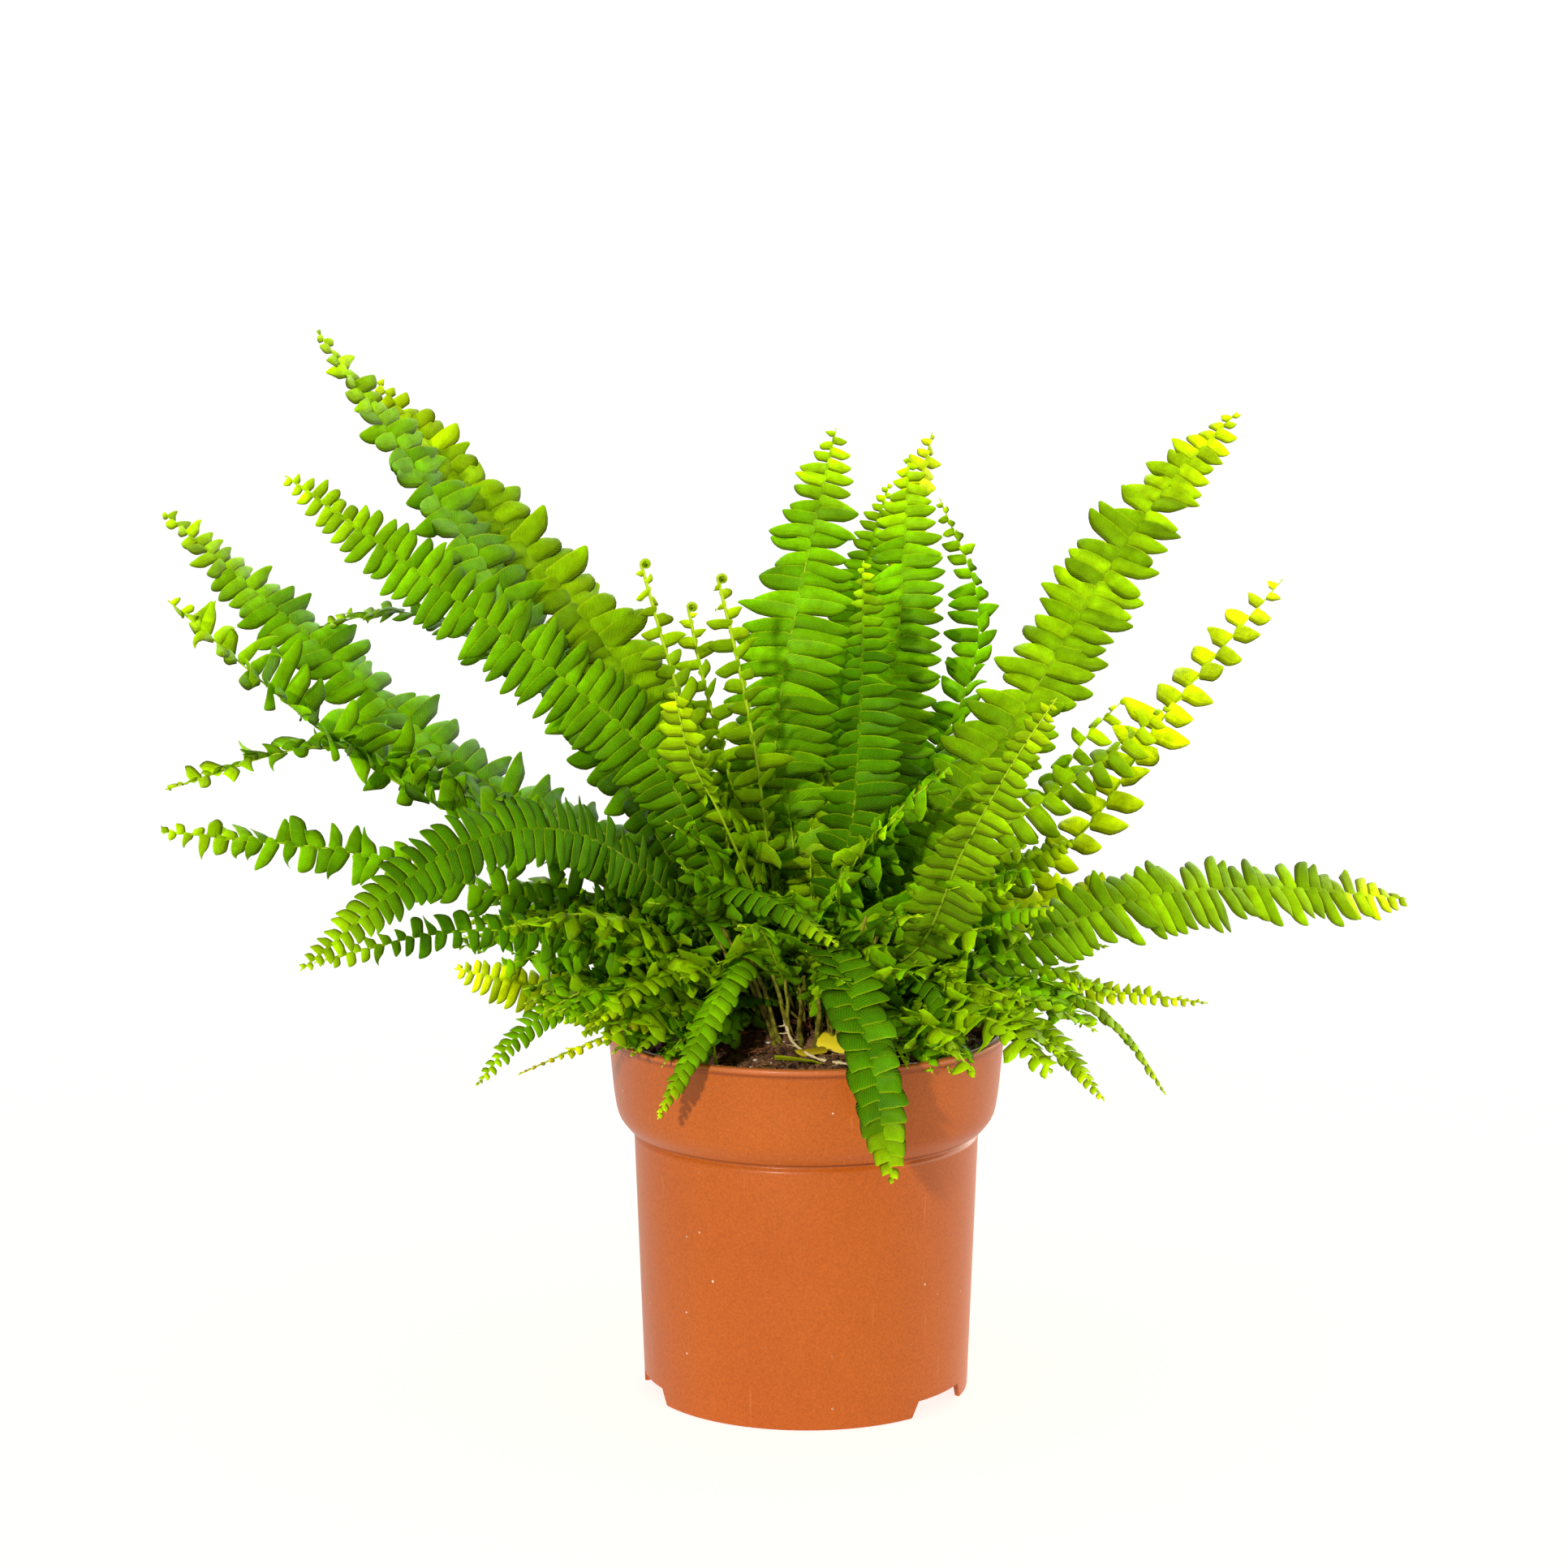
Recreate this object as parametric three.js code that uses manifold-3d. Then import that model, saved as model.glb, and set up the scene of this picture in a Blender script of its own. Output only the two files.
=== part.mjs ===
// A sword fern in a round moulded nursery pot. Millimetres, +Z up.
// The origin is on the pot's axis, on the surface that the pot stands on. The front is towards -Y.
import * as THREE from "three";
import { mergeVertices } from "three/addons/utils/BufferGeometryUtils.js";
import Module from "manifold-3d";

const wasm = await Module();
wasm.setup();

// Driving dimensions of the pot.
const RIM_RADIUS = 60;
const POT_HEIGHT = 109;
const POT_WALL = 1.6;
const LIP_HEIGHT = 2.4;
const LIP_PROUD = 1;
const COLLAR_HEIGHT = 29;
const COLLAR_FOOT_RADIUS = 57.5;
const BODY_TOP_RADIUS = 51.5;
const BODY_FOOT_RADIUS = 48.7;
const FLOOR_HEIGHT = 6;
const FLOOR_THICKNESS = 2;
const POT_SIDES = 36;
const NOTCH_BEARINGS = [-35, 81, 197];
const NOTCH_WIDTH = 27;
const NOTCH_TOP_WIDTH = 21;
const NOTCH_HEIGHT = 4.8;
const DRAIN_HOLES = 6;
const DRAIN_RADIUS = 3.5;
const DRAIN_CIRCLE = 33;
const BASE_RIBS = 6;
const BASE_RIB_THICKNESS = 1.4;

// Driving dimensions of the soil and of the crown that the fronds grow from.
const FIT_GAP = 0.3;
const SOIL_EDGE_HEIGHT = 102;
const SOIL_CENTRE_HEIGHT = 107.5;
const SOIL_ROUGHNESS = 0.7;
const CROWN_RADIUS = 29;
const CROWN_BOTTOM = 97;
const CROWN_SHOULDER = 108;
const CROWN_TOP = 117.5;
const CROWN_SIDES = 12;
const ROOT_RING_STEP = 6;
const ROOT_DEPTH = 6;
const ROOT_HOLE_RADIUS = 1.6;
const ROOT_HOLE_DEPTH = 8;

// Driving dimensions that all fronds share.
const STIPE_RADIUS = 1;
const RIB_TIP_RADIUS = 0.65;
const STIPE_STEPS = 3;
const LEAFLET_LEAN = 0.12;
const CLEARANCE = 0.35;

const GREENS = { dark: "#3f7d1c", mid: "#5a9a1f", bright: "#77b224", lime: "#a3cc2c" };

// A frond: its root on the crown as [ring, bearing], the length of its longest leaflets, its pairs of
// leaflets, the share of it that is a bare stipe, its green, how its blade is turned, and the places that
// its rib passes through, the last being its tip. roll turns the blade round the rib and raise lifts both
// rows of leaflets, in degrees. taper is higher where the leaflets stay long nearly to the tip.
function frond(name, root, leaf, pairs, bare, green, shape, places) {
  return { name, root, leaf, pairs, bare, green, roll: 0, raise: -8, taper: 3, ...shape, places };
}

const FRONDS = [
  frond("frond_left_1", [3, 160], 16, 22, 0.12, "mid", { roll: -22, raise: 13 },
    [[-49, 5, 173], [-81, 12, 223], [-112, 18, 268], [-146, 24, 315]]),
  frond("frond_left_2", [2, 120], 16, 20, 0.14, "bright", { roll: -30, raise: 16 },
    [[-36, 13, 182], [-61, 27, 221], [-91, 40, 254], [-132, 55, 299]]),
  frond("frond_left_3", [2, 210], 13.5, 23, 0.12, "mid", { roll: -62, taper: 2.4 },
    [[-42, -8, 187], [-73, -14, 217], [-101, -16, 238], [-151, -12, 274]]),
  frond("frond_left_4", [3, 180], 20, 22, 0.12, "bright", { roll: -16, raise: 8, taper: 7 },
    [[-52, 6, 161], [-95, 18, 179], [-128, 30, 203], [-197, 48, 259]]),
  frond("frond_left_5", [3, 200], 11, 17, 0.16, "mid", { roll: -34, raise: 24 },
    [[-64, -14, 157], [-106, -24, 179], [-133, -30, 197], [-181, -38, 240]]),
  frond("frond_left_6", [4, 150], 10, 13, 0.2, "mid", { taper: 2 },
    [[-71, 2, 160], [-112, -18, 187], [-138, -36, 198], [-179, -60, 189]]),
  frond("frond_left_7", [3, 140], 9, 12, 0.24, "dark", { taper: 2 },
    [[-47, 18, 175], [-84, 32, 210], [-123, 44, 229], [-157, 50, 222]]),
  frond("frond_left_8", [4, 195], 8, 17, 0.18, "mid", { roll: -50 },
    [[-51, -16, 142], [-88, -28, 154], [-126, -38, 167], [-182, -52, 176]]),
  frond("frond_left_9", [3, 220], 14, 23, 0.12, "mid", { roll: -12 },
    [[-45, -38, 161], [-69, -62, 178], [-96, -82, 176], [-136, -103, 146]]),
  frond("frond_left_10", [4, 225], 6.5, 14, 0.18, "dark", { roll: -50 },
    [[-48, -28, 134], [-77, -52, 147], [-103, -64, 149], [-136, -76, 143]]),
  frond("frond_left_11", [4, 165], 6, 10, 0.22, "lime", { roll: -60 },
    [[-52, 0, 118], [-84, 4, 121], [-106, 8, 125]]),
  frond("frond_left_12", [4, 210], 8, 11, 0.16, "mid", {},
    [[-46, -18, 124], [-69, -30, 123], [-83, -36, 114], [-95, -40, 100]]),
  frond("frond_left_13", [4, 240], 6, 8, 0.22, "bright", {},
    [[-45, -36, 119], [-64, -46, 113], [-82, -52, 106]]),
  frond("frond_left_14", [4, 180], 10, 10, 0.18, "dark", { roll: -20 },
    [[-44, -6, 133], [-70, -14, 143], [-98, -24, 145]]),
  frond("frond_front_1", [2, 270], 8, 12, 0.24, "mid", {},
    [[-11, -22, 143], [-23, -48, 132], [-33, -58, 113], [-42, -60, 95]]),
  frond("frond_front_2", [1, 300], 13, 15, 0.22, "mid", { taper: 4 },
    [[5, -34, 141], [13, -62, 128], [19, -73, 109], [24, -75, 81]]),
  frond("frond_front_3", [2, 240], 9, 10, 0.26, "dark", {},
    [[-24, -36, 157], [-8, -50, 155], [9, -60, 145]]),
  frond("frond_front_4", [3, 240], 8, 8, 0.2, "bright", {},
    [[-33, -40, 135], [-47, -54, 132], [-60, -62, 122]]),
  frond("frond_front_5", [4, 270], 7, 7, 0.2, "dark", {},
    [[-36, -40, 121], [-50, -50, 111]]),
  frond("frond_front_6", [1, 240], 14, 16, 0.16, "bright", {},
    [[-17, -22, 158], [-25, -36, 179], [-33, -46, 197], [-37, -54, 216]]),
  frond("frond_front_7", [3, 260], 11, 8, 0.24, "mid", {},
    [[-8, -36, 134], [-13, -52, 148], [-19, -68, 152]]),
  frond("frond_front_8", [3, 280], 11, 8, 0.24, "dark", {},
    [[8, -32, 136], [22, -48, 150], [32, -64, 154]]),
  frond("frond_centre_1", [1, 120], 17, 24, 0.1, "mid", { taper: 4 },
    [[-10, 18, 171], [-8, 32, 204], [-1, 44, 240], [9, 56, 285]]),
  frond("frond_centre_2", [1, 60], 16, 22, 0.12, "mid", { taper: 4 },
    [[16, 24, 170], [26, 44, 205], [30, 58, 242], [32, 72, 275]]),
  frond("frond_centre_3", [0, 0], 16, 22, 0.08, "dark", { taper: 2 },
    [[13, 0, 167], [16, 10, 197], [17, 16, 226], [17, 20, 247]]),
  frond("frond_centre_4", [3, 80], 12, 14, 0.16, "mid", { roll: 20 },
    [[6, 45, 167], [13, 68, 215], [19, 80, 242], [26, 88, 266]]),
  frond("frond_centre_5", [3, 60], 9, 11, 0.24, "lime", { roll: 60 },
    [[24, 60, 178], [34, 84, 226], [34, 92, 254], [40, 98, 282]]),
  frond("frond_centre_6", [2, 60], 11, 14, 0.2, "mid", { roll: -42, raise: 42 },
    [[32, 44, 172], [51, 64, 206], [54, 74, 230], [42, 84, 262]]),
  frond("crozier_1", [2, 180], 6, 8, 0.36, "bright", { raise: 30 },
    [[-27, -4, 179], [-38, -8, 212], [-48, -12, 248]]),
  frond("crozier_2", [2, 150], 6, 6, 0.4, "bright", { raise: 30 },
    [[-23, 8, 183], [-31, 7, 214], [-35, 6, 234]]),
  frond("crozier_3", [1, 180], 6, 7, 0.36, "bright", { raise: 30 },
    [[-15, -2, 191], [-21, 0, 222], [-26, -2, 243]]),
  frond("frond_right_1", [1, 0], 16, 23, 0.12, "bright", { roll: 24, raise: 12 },
    [[38, 18, 165], [65, 38, 198], [89, 54, 235], [111, 67, 265], [135, 80, 289]]),
  frond("frond_right_2", [2, 300], 15, 17, 0.14, "bright", {},
    [[32, -28, 138], [45, -38, 169], [59, -46, 196], [70, -52, 214]]),
  frond("frond_right_3", [3, 20], 13, 15, 0.26, "lime", { roll: 20, raise: 16 },
    [[61, 24, 144], [87, 36, 165], [110, 48, 196], [148, 62, 238]]),
  frond("frond_right_4", [2, 0], 9, 13, 0.18, "bright", { roll: 40 },
    [[45, 8, 158], [72, 18, 175], [92, 24, 188], [109, 28, 202]]),
  frond("frond_right_5", [2, 30], 8, 10, 0.26, "bright", { roll: 30 },
    [[51, 24, 158], [74, 42, 173], [87, 52, 190], [99, 58, 201]]),
  frond("frond_right_6", [3, 320], 13, 23, 0.12, "mid", { roll: 45 },
    [[37, -20, 125], [61, -8, 134], [100, 26, 143], [144, 60, 141], [194, 92, 132]]),
  frond("frond_right_7", [3, 0], 9, 10, 0.18, "bright", { roll: 40 },
    [[43, 4, 141], [60, 14, 153], [81, 22, 162]]),
  frond("frond_right_8", [4, 15], 4.5, 11, 0.42, "lime", { roll: 60 },
    [[60, 16, 119], [88, 26, 115], [124, 36, 109]]),
  frond("frond_right_9", [4, 345], 7, 12, 0.18, "bright", {},
    [[54, -8, 120], [78, -12, 122], [94, -14, 110], [106, -16, 92]]),
  frond("frond_right_10", [4, 315], 7, 12, 0.16, "bright", { roll: 30 },
    [[49, -34, 125], [69, -43, 117], [85, -50, 98]]),
  frond("frond_right_11", [4, 30], 8, 10, 0.22, "lime", { roll: 60 },
    [[46, 24, 134], [75, 48, 139], [109, 66, 143]]),
  frond("frond_right_12", [4, 45], 5, 8, 0.24, "mid", { roll: 60 },
    [[51, 34, 121], [72, 46, 125], [95, 56, 123]]),
  frond("frond_right_13", [4, 300], 8, 8, 0.18, "dark", {},
    [[34, -34, 130], [44, -44, 114]]),
  frond("frond_right_14", [3, 340], 9, 8, 0.2, "mid", { roll: 20 },
    [[36, -8, 134], [54, -15, 145], [72, -22, 149]]),
  frond("frond_right_15", [4, 330], 8, 7, 0.2, "mid", {},
    [[42, -26, 119], [58, -36, 118], [70, -44, 108]]),
  frond("frond_back_1", [2, 90], 14, 14, 0.16, "mid", {},
    [[0, 38, 166], [-4, 74, 208], [-10, 104, 210]]),
  frond("frond_back_2", [3, 40], 14, 14, 0.18, "mid", {},
    [[28, 32, 150], [50, 68, 188], [66, 102, 186]]),
  frond("frond_back_3", [3, 120], 14, 14, 0.18, "mid", {},
    [[-26, 34, 160], [-46, 68, 192], [-62, 100, 188]]),
  frond("frond_back_4", [4, 75], 12, 12, 0.18, "dark", {},
    [[18, 44, 140], [36, 80, 152], [50, 105, 130]]),
  frond("frond_back_5", [4, 120], 12, 12, 0.18, "dark", {},
    [[-20, 44, 138], [-38, 80, 147], [-52, 104, 122]]),
  frond("frond_back_6", [4, 60], 11, 10, 0.22, "mid", {},
    [[36, 44, 136], [60, 72, 148], [80, 98, 146]]),
  frond("frond_back_7", [4, 135], 11, 10, 0.22, "mid", {},
    [[-42, 34, 142], [-66, 62, 154], [-85, 90, 150]]),
  frond("frond_back_8", [4, 90], 9, 9, 0.2, "dark", {},
    [[0, 46, 120], [2, 74, 115], [4, 98, 94]]),
];

// The runner: where it leaves the crown, and the places that it passes over on the soil.
const RUNNER_ROOT = [4, 255];
const RUNNER_RADIUS = 0.9;
const RUNNER_PLACES = [[-4, -30, 111], [3, -37, 107.6], [12, -42, 107], [20, -45, 107]];

// The fallen leaflet: the middle of it, its length and width, and how far it is turned and tipped.
const FALLEN_LEAFLET = { at: [11, -31, 108.2], length: 13, width: 6, thickness: 0.8, turn: -12, tip: 14 };

const UP = new THREE.Vector3(0, 0, 1);

// Small repeatable random numbers, so that every build gives the same plant.
function seeded(seed) {
  let state = seed;
  return () => {
    state = (state * 1664525 + 1013904223) % 4294967296;
    return state / 4294967296;
  };
}

function vec(x, y, z) {
  return new THREE.Vector3(x, y, z);
}

function mix(a, b, t) {
  return a.clone().lerp(b, t);
}

// A geometry from a list of points and a list of triangles that index it.
function geometryOf(points, triangles) {
  const geometry = new THREE.BufferGeometry();
  const flat = points.flatMap((p) => [p.x, p.y, p.z]);
  geometry.setAttribute("position", new THREE.Float32BufferAttribute(flat, 3));
  geometry.setIndex(triangles.flat());
  return geometry;
}

function solidOf(geometry) {
  const bare = geometry.clone();
  bare.deleteAttribute("normal");
  bare.deleteAttribute("uv");
  const merged = mergeVertices(bare, 1e-4);
  const mesh = new wasm.Mesh({
    numProp: 3,
    vertProperties: merged.attributes.position.array,
    triVerts: new Uint32Array(merged.index.array),
  });
  return new wasm.Manifold(mesh);
}

function geometryFromSolid(solid) {
  const mesh = solid.getMesh();
  const geometry = new THREE.BufferGeometry();
  geometry.setAttribute("position", new THREE.BufferAttribute(mesh.vertProperties, 3));
  geometry.setIndex(new THREE.BufferAttribute(mesh.triVerts, 1));
  return geometry;
}

function meshOf(name, geometry, colour, roughness) {
  geometry.computeVertexNormals();
  const material = new THREE.MeshStandardMaterial({ color: colour, roughness, metalness: 0 });
  const mesh = new THREE.Mesh(geometry, material);
  mesh.name = name;
  return mesh;
}

// A solid turned round the Z axis from a list of [radius, height] pairs.
function turned(profile, sides) {
  const outline = profile.map(([r, z]) => new THREE.Vector2(r, z));
  return new THREE.LatheGeometry(outline, sides).rotateX(Math.PI / 2);
}

// The pot's inner wall at a height: the outer wall less its thickness.
function innerRadius(z) {
  const collarFoot = POT_HEIGHT - COLLAR_HEIGHT;
  if (z <= collarFoot - 6) {
    const t = z / (collarFoot - 4);
    return BODY_FOOT_RADIUS + (BODY_TOP_RADIUS - BODY_FOOT_RADIUS) * t - POT_WALL;
  }
  const t = (z - collarFoot - 10) / (COLLAR_HEIGHT - 10);
  return COLLAR_FOOT_RADIUS + (RIM_RADIUS - LIP_PROUD - COLLAR_FOOT_RADIUS) * t - POT_WALL;
}

// The pot: a tapering body on a foot ring, a wider collar that rounds in to a fine groove, and a thin lip.
function potProfile() {
  const collarFoot = POT_HEIGHT - COLLAR_HEIGHT;
  const underLip = POT_HEIGHT - LIP_HEIGHT;
  const collarTop = RIM_RADIUS - LIP_PROUD;
  return [
    [0, FLOOR_HEIGHT],
    [BODY_FOOT_RADIUS - POT_WALL, FLOOR_HEIGHT],
    [BODY_FOOT_RADIUS - POT_WALL, 0],
    [BODY_FOOT_RADIUS, 0],
    [BODY_TOP_RADIUS, collarFoot - 4],
    [BODY_TOP_RADIUS - 0.6, collarFoot - 1.2],
    [BODY_TOP_RADIUS + 2.9, collarFoot + 1.2],
    [COLLAR_FOOT_RADIUS - 1.1, collarFoot + 4.6],
    [COLLAR_FOOT_RADIUS, collarFoot + 10],
    [collarTop, underLip],
    [RIM_RADIUS, underLip + 0.6],
    [RIM_RADIUS, POT_HEIGHT - 0.5],
    [RIM_RADIUS - 0.5, POT_HEIGHT],
    [collarTop - POT_WALL, POT_HEIGHT],
    [COLLAR_FOOT_RADIUS - POT_WALL, collarFoot + 10],
    [BODY_TOP_RADIUS - POT_WALL + 1, collarFoot + 1.2],
    [BODY_TOP_RADIUS - POT_WALL, collarFoot - 6],
    [BODY_FOOT_RADIUS - POT_WALL + 0.3, FLOOR_HEIGHT + FLOOR_THICKNESS],
    [0, FLOOR_HEIGHT + FLOOR_THICKNESS],
  ];
}

// A block that cuts one drainage notch through the foot ring, narrower at its top.
function notchCutter(bearing) {
  const outline = new THREE.Shape();
  outline.moveTo(-NOTCH_WIDTH / 2, -1);
  outline.lineTo(NOTCH_WIDTH / 2, -1);
  outline.lineTo(NOTCH_TOP_WIDTH / 2, NOTCH_HEIGHT);
  outline.lineTo(-NOTCH_TOP_WIDTH / 2, NOTCH_HEIGHT);
  outline.closePath();
  const block = new THREE.ExtrudeGeometry(outline, { depth: 20, bevelEnabled: false });
  block.rotateX(Math.PI / 2).translate(0, -BODY_FOOT_RADIUS + 12, 0);
  return block.rotateZ(THREE.MathUtils.degToRad(bearing + 90));
}

function drainCutter(index) {
  const angle = ((index + 0.5) / DRAIN_HOLES) * 2 * Math.PI;
  const drill = new THREE.CylinderGeometry(DRAIN_RADIUS, DRAIN_RADIUS, 12, 8);
  drill.rotateX(Math.PI / 2);
  return drill.translate(DRAIN_CIRCLE * Math.cos(angle), DRAIN_CIRCLE * Math.sin(angle), FLOOR_HEIGHT);
}

function baseRib(index) {
  const length = BODY_FOOT_RADIUS - POT_WALL - 8;
  const rib = new THREE.BoxGeometry(length, BASE_RIB_THICKNESS, FLOOR_HEIGHT - 1.5);
  rib.translate(8 + length / 2, 0, (FLOOR_HEIGHT + 1.9) / 2);
  return rib.rotateZ((index / BASE_RIBS) * 2 * Math.PI);
}

function makePot() {
  let pot = solidOf(turned(potProfile(), POT_SIDES));
  for (let i = 0; i < BASE_RIBS; i += 1) {
    pot = pot.add(solidOf(baseRib(i)));
  }
  for (let i = 0; i < DRAIN_HOLES; i += 1) {
    pot = pot.subtract(solidOf(drainCutter(i)));
  }
  for (const bearing of NOTCH_BEARINGS) {
    pot = pot.subtract(solidOf(notchCutter(bearing)));
  }
  return meshOf("pot", geometryFromSolid(pot), "#c4662c", 0.55);
}

// The soil fills the pot, rises a little to the middle, and has a round seat for the crown.
function soilHeight(r) {
  const t = (r - CROWN_RADIUS) / (innerRadius(SOIL_EDGE_HEIGHT) - CROWN_RADIUS);
  return SOIL_CENTRE_HEIGHT + (SOIL_EDGE_HEIGHT - SOIL_CENTRE_HEIGHT) * t;
}

function makeSoil() {
  const floor = FLOOR_HEIGHT + FLOOR_THICKNESS + FIT_GAP;
  const collarFoot = POT_HEIGHT - COLLAR_HEIGHT;
  const edge = innerRadius(SOIL_EDGE_HEIGHT) - FIT_GAP;
  const seat = CROWN_RADIUS + FIT_GAP;
  const profile = [
    [0, floor],
    [innerRadius(floor) - FIT_GAP, floor],
    [innerRadius(collarFoot - 6) - FIT_GAP, collarFoot - 6],
    [BODY_TOP_RADIUS - POT_WALL + 1 - FIT_GAP, collarFoot + 1.8],
    [innerRadius(collarFoot + 10) - FIT_GAP, collarFoot + 10.5],
    [edge, SOIL_EDGE_HEIGHT],
    [edge - 5, soilHeight(edge - 5)],
    [edge - 12, soilHeight(edge - 12)],
    [edge - 19, soilHeight(edge - 19)],
    [seat, soilHeight(seat)],
    [seat, CROWN_BOTTOM - FIT_GAP],
    [0, CROWN_BOTTOM - FIT_GAP],
  ];
  const soil = mergeVertices(bareOf(turned(profile, POT_SIDES)), 1e-4);
  roughen(soil, SOIL_EDGE_HEIGHT - 1, SOIL_ROUGHNESS, edge - 1, 11);
  return meshOf("soil", soil, "#3a281d", 0.95);
}

function bareOf(geometry) {
  geometry.deleteAttribute("normal");
  geometry.deleteAttribute("uv");
  return geometry;
}

// Moves the points above a height up or down a little, but not those at the outer edge.
function roughen(geometry, above, amount, insideRadius, seed) {
  const random = seeded(seed);
  const at = geometry.attributes.position;
  for (let i = 0; i < at.count; i += 1) {
    const lift = (random() - 0.5) * 2 * amount;
    const inside = Math.hypot(at.getX(i), at.getY(i)) < insideRadius;
    if (at.getZ(i) > above && inside) at.setZ(i, at.getZ(i) + lift);
  }
}

// The crown's top surface, a low dome.
function crownHeight(r) {
  const t = Math.min(r / CROWN_RADIUS, 1);
  return CROWN_SHOULDER + (CROWN_TOP - CROWN_SHOULDER) * Math.sqrt(1 - 0.9 * t * t);
}

function rootPlace(ring, bearing) {
  const r = ring * ROOT_RING_STEP;
  const angle = THREE.MathUtils.degToRad(bearing);
  return vec(r * Math.cos(angle), r * Math.sin(angle), crownHeight(r) + 0.6);
}

// A frond's rib: a straight foot in the crown, then a smooth curve through its places.
function ribOf(row) {
  const root = rootPlace(...row.root);
  const through = [root, ...row.places.map(([x, y, z]) => vec(x, y, z))];
  const first = through[1].clone().sub(root);
  first.setLength(first.length() * 0.3).setZ(Math.max(first.z, first.length() * 0.75));
  through.splice(1, 0, root.clone().add(first));
  const curve = new THREE.CatmullRomCurve3(through);
  curve.arcLengthDivisions = 400;
  const start = first.clone().normalize();
  const reach = through[through.length - 1].clone().sub(root).setZ(0).normalize();
  const side = new THREE.Vector3().crossVectors(UP, reach);
  return { ...row, root, start, side, curve };
}

// Tangent, upward normal and left side of the blade at a share of the rib's length.
function frameAt(rib, share) {
  const point = rib.curve.getPointAt(Math.min(share, 1));
  const along = rib.curve.getTangentAt(Math.min(share, 1));
  const normal = new THREE.Vector3().crossVectors(along, rib.side).normalize();
  normal.applyAxisAngle(along, THREE.MathUtils.degToRad(rib.roll) * Math.min(1, share * 2.5));
  const left = new THREE.Vector3().crossVectors(normal, along);
  return { point, along, normal, left };
}

// How long the leaflets are along the blade: shorter at its foot, and tapering to its tip.
function leafletShare(t, taper) {
  return Math.min(0.55 + 1.8 * t, 1) * (1 - t ** taper) ** 0.9 + 0.06;
}

function ribRadius(share) {
  return STIPE_RADIUS + (RIB_TIP_RADIUS - STIPE_RADIUS) * share;
}

// The rings of a rib: four-sided along the bare stipe, then an upper and a lower point for each half leaflet.
function ringsOf(rib) {
  const stipe = [];
  for (let i = 0; i <= STIPE_STEPS; i += 1) {
    const share = (rib.bare * i) / STIPE_STEPS;
    stipe.push(ringAt(frameAt(rib, share), ribRadius(share)));
  }
  const blade = [];
  const steps = 2 * rib.pairs + 2;
  for (let k = 0; k < steps; k += 1) {
    const t = k / steps;
    const share = rib.bare + (1 - rib.bare) * t * (1.2 - 0.2 * t);
    blade.push({ ...ringAt(frameAt(rib, share), ribRadius(share)), t });
  }
  const foot = rib.root.clone().addScaledVector(rib.start, -ROOT_DEPTH);
  return { foot, stipe, blade, tip: rib.curve.getPointAt(1) };
}

function ringAt(frame, radius) {
  const { point, normal, left } = frame;
  return {
    ...frame,
    top: point.clone().addScaledVector(normal, radius),
    bottom: point.clone().addScaledVector(normal, -radius),
    left4: point.clone().addScaledVector(left, radius),
    right4: point.clone().addScaledVector(left, -radius),
    radius,
  };
}

// A leaflet between rings a and c, its middle at ring b: as thick as the rib at its foot, and thin at its two
// outer corners.
function leafletOf(a, b, c, hand, length, fold) {
  const angle = THREE.MathUtils.degToRad(fold);
  const out = b.left.clone().multiplyScalar(hand * Math.cos(angle));
  out.addScaledVector(b.normal, Math.sin(angle));
  const lean = b.along.clone().multiplyScalar(LEAFLET_LEAN * length);
  const inner = mix(a.point, c.point, 0.2).addScaledVector(out, 0.86 * length).add(lean);
  const outer = mix(a.point, c.point, 0.84).addScaledVector(out, length).add(lean);
  const face = new THREE.Vector3().crossVectors(b.along, out).multiplyScalar(-hand).normalize();
  return { a, b, c, hand, inner, outer, face };
}

// The faces of a thin prism round a leaflet, a little larger than it, to test it against its neighbours.
function hullOf(leaf, grow) {
  const loop = [leaf.a.point, leaf.c.point, leaf.outer, leaf.inner];
  const middle = loop.reduce((sum, p) => sum.add(p), vec(0, 0, 0)).multiplyScalar(0.25);
  const wide = loop.map((p) => middle.clone().addScaledVector(p.clone().sub(middle), 1 + grow / 6));
  const high = wide.map((p) => p.clone().addScaledVector(leaf.face, leaf.a.radius + grow));
  const low = wide.map((p) => p.clone().addScaledVector(leaf.face, -leaf.a.radius - grow));
  return prismOf(high, low);
}

// A box round one length of a rib.
function ribHullOf(from, to, grow) {
  const high = [];
  const low = [];
  for (const ring of [from, to]) {
    const reach = ring.radius + grow;
    for (const sideways of [reach, -reach]) {
      const beside = ring.point.clone().addScaledVector(ring.left, sideways);
      high.push(beside.clone().addScaledVector(ring.normal, reach));
      low.push(beside.clone().addScaledVector(ring.normal, -reach));
    }
  }
  const order = [0, 1, 3, 2];
  return prismOf(order.map((i) => high[i]), order.map((i) => low[i]));
}

function prismOf(high, low) {
  const faces = [];
  const count = high.length;
  for (let i = 1; i < count - 1; i += 1) {
    faces.push([high[0], high[i], high[i + 1]], [low[0], low[i + 1], low[i]]);
  }
  const edges = [];
  for (let i = 0; i < count; i += 1) {
    const j = (i + 1) % count;
    faces.push([high[i], low[i], low[j]], [high[i], low[j], high[j]]);
    edges.push([high[i], high[j]], [low[i], low[j]], [high[i], low[i]]);
  }
  const box = new THREE.Box3().setFromPoints([...high, ...low]);
  return { faces, edges, box };
}

// Whether the segment from p to q passes through a triangle.
const probe = new THREE.Ray();
const touch = new THREE.Vector3();
function pierces([p, q], [a, b, c]) {
  const length = p.distanceTo(q);
  probe.origin.copy(p);
  probe.direction.copy(q).sub(p).divideScalar(length);
  const hit = probe.intersectTriangle(a, b, c, false, touch);
  return hit !== null && hit.distanceTo(p) <= length;
}

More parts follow.
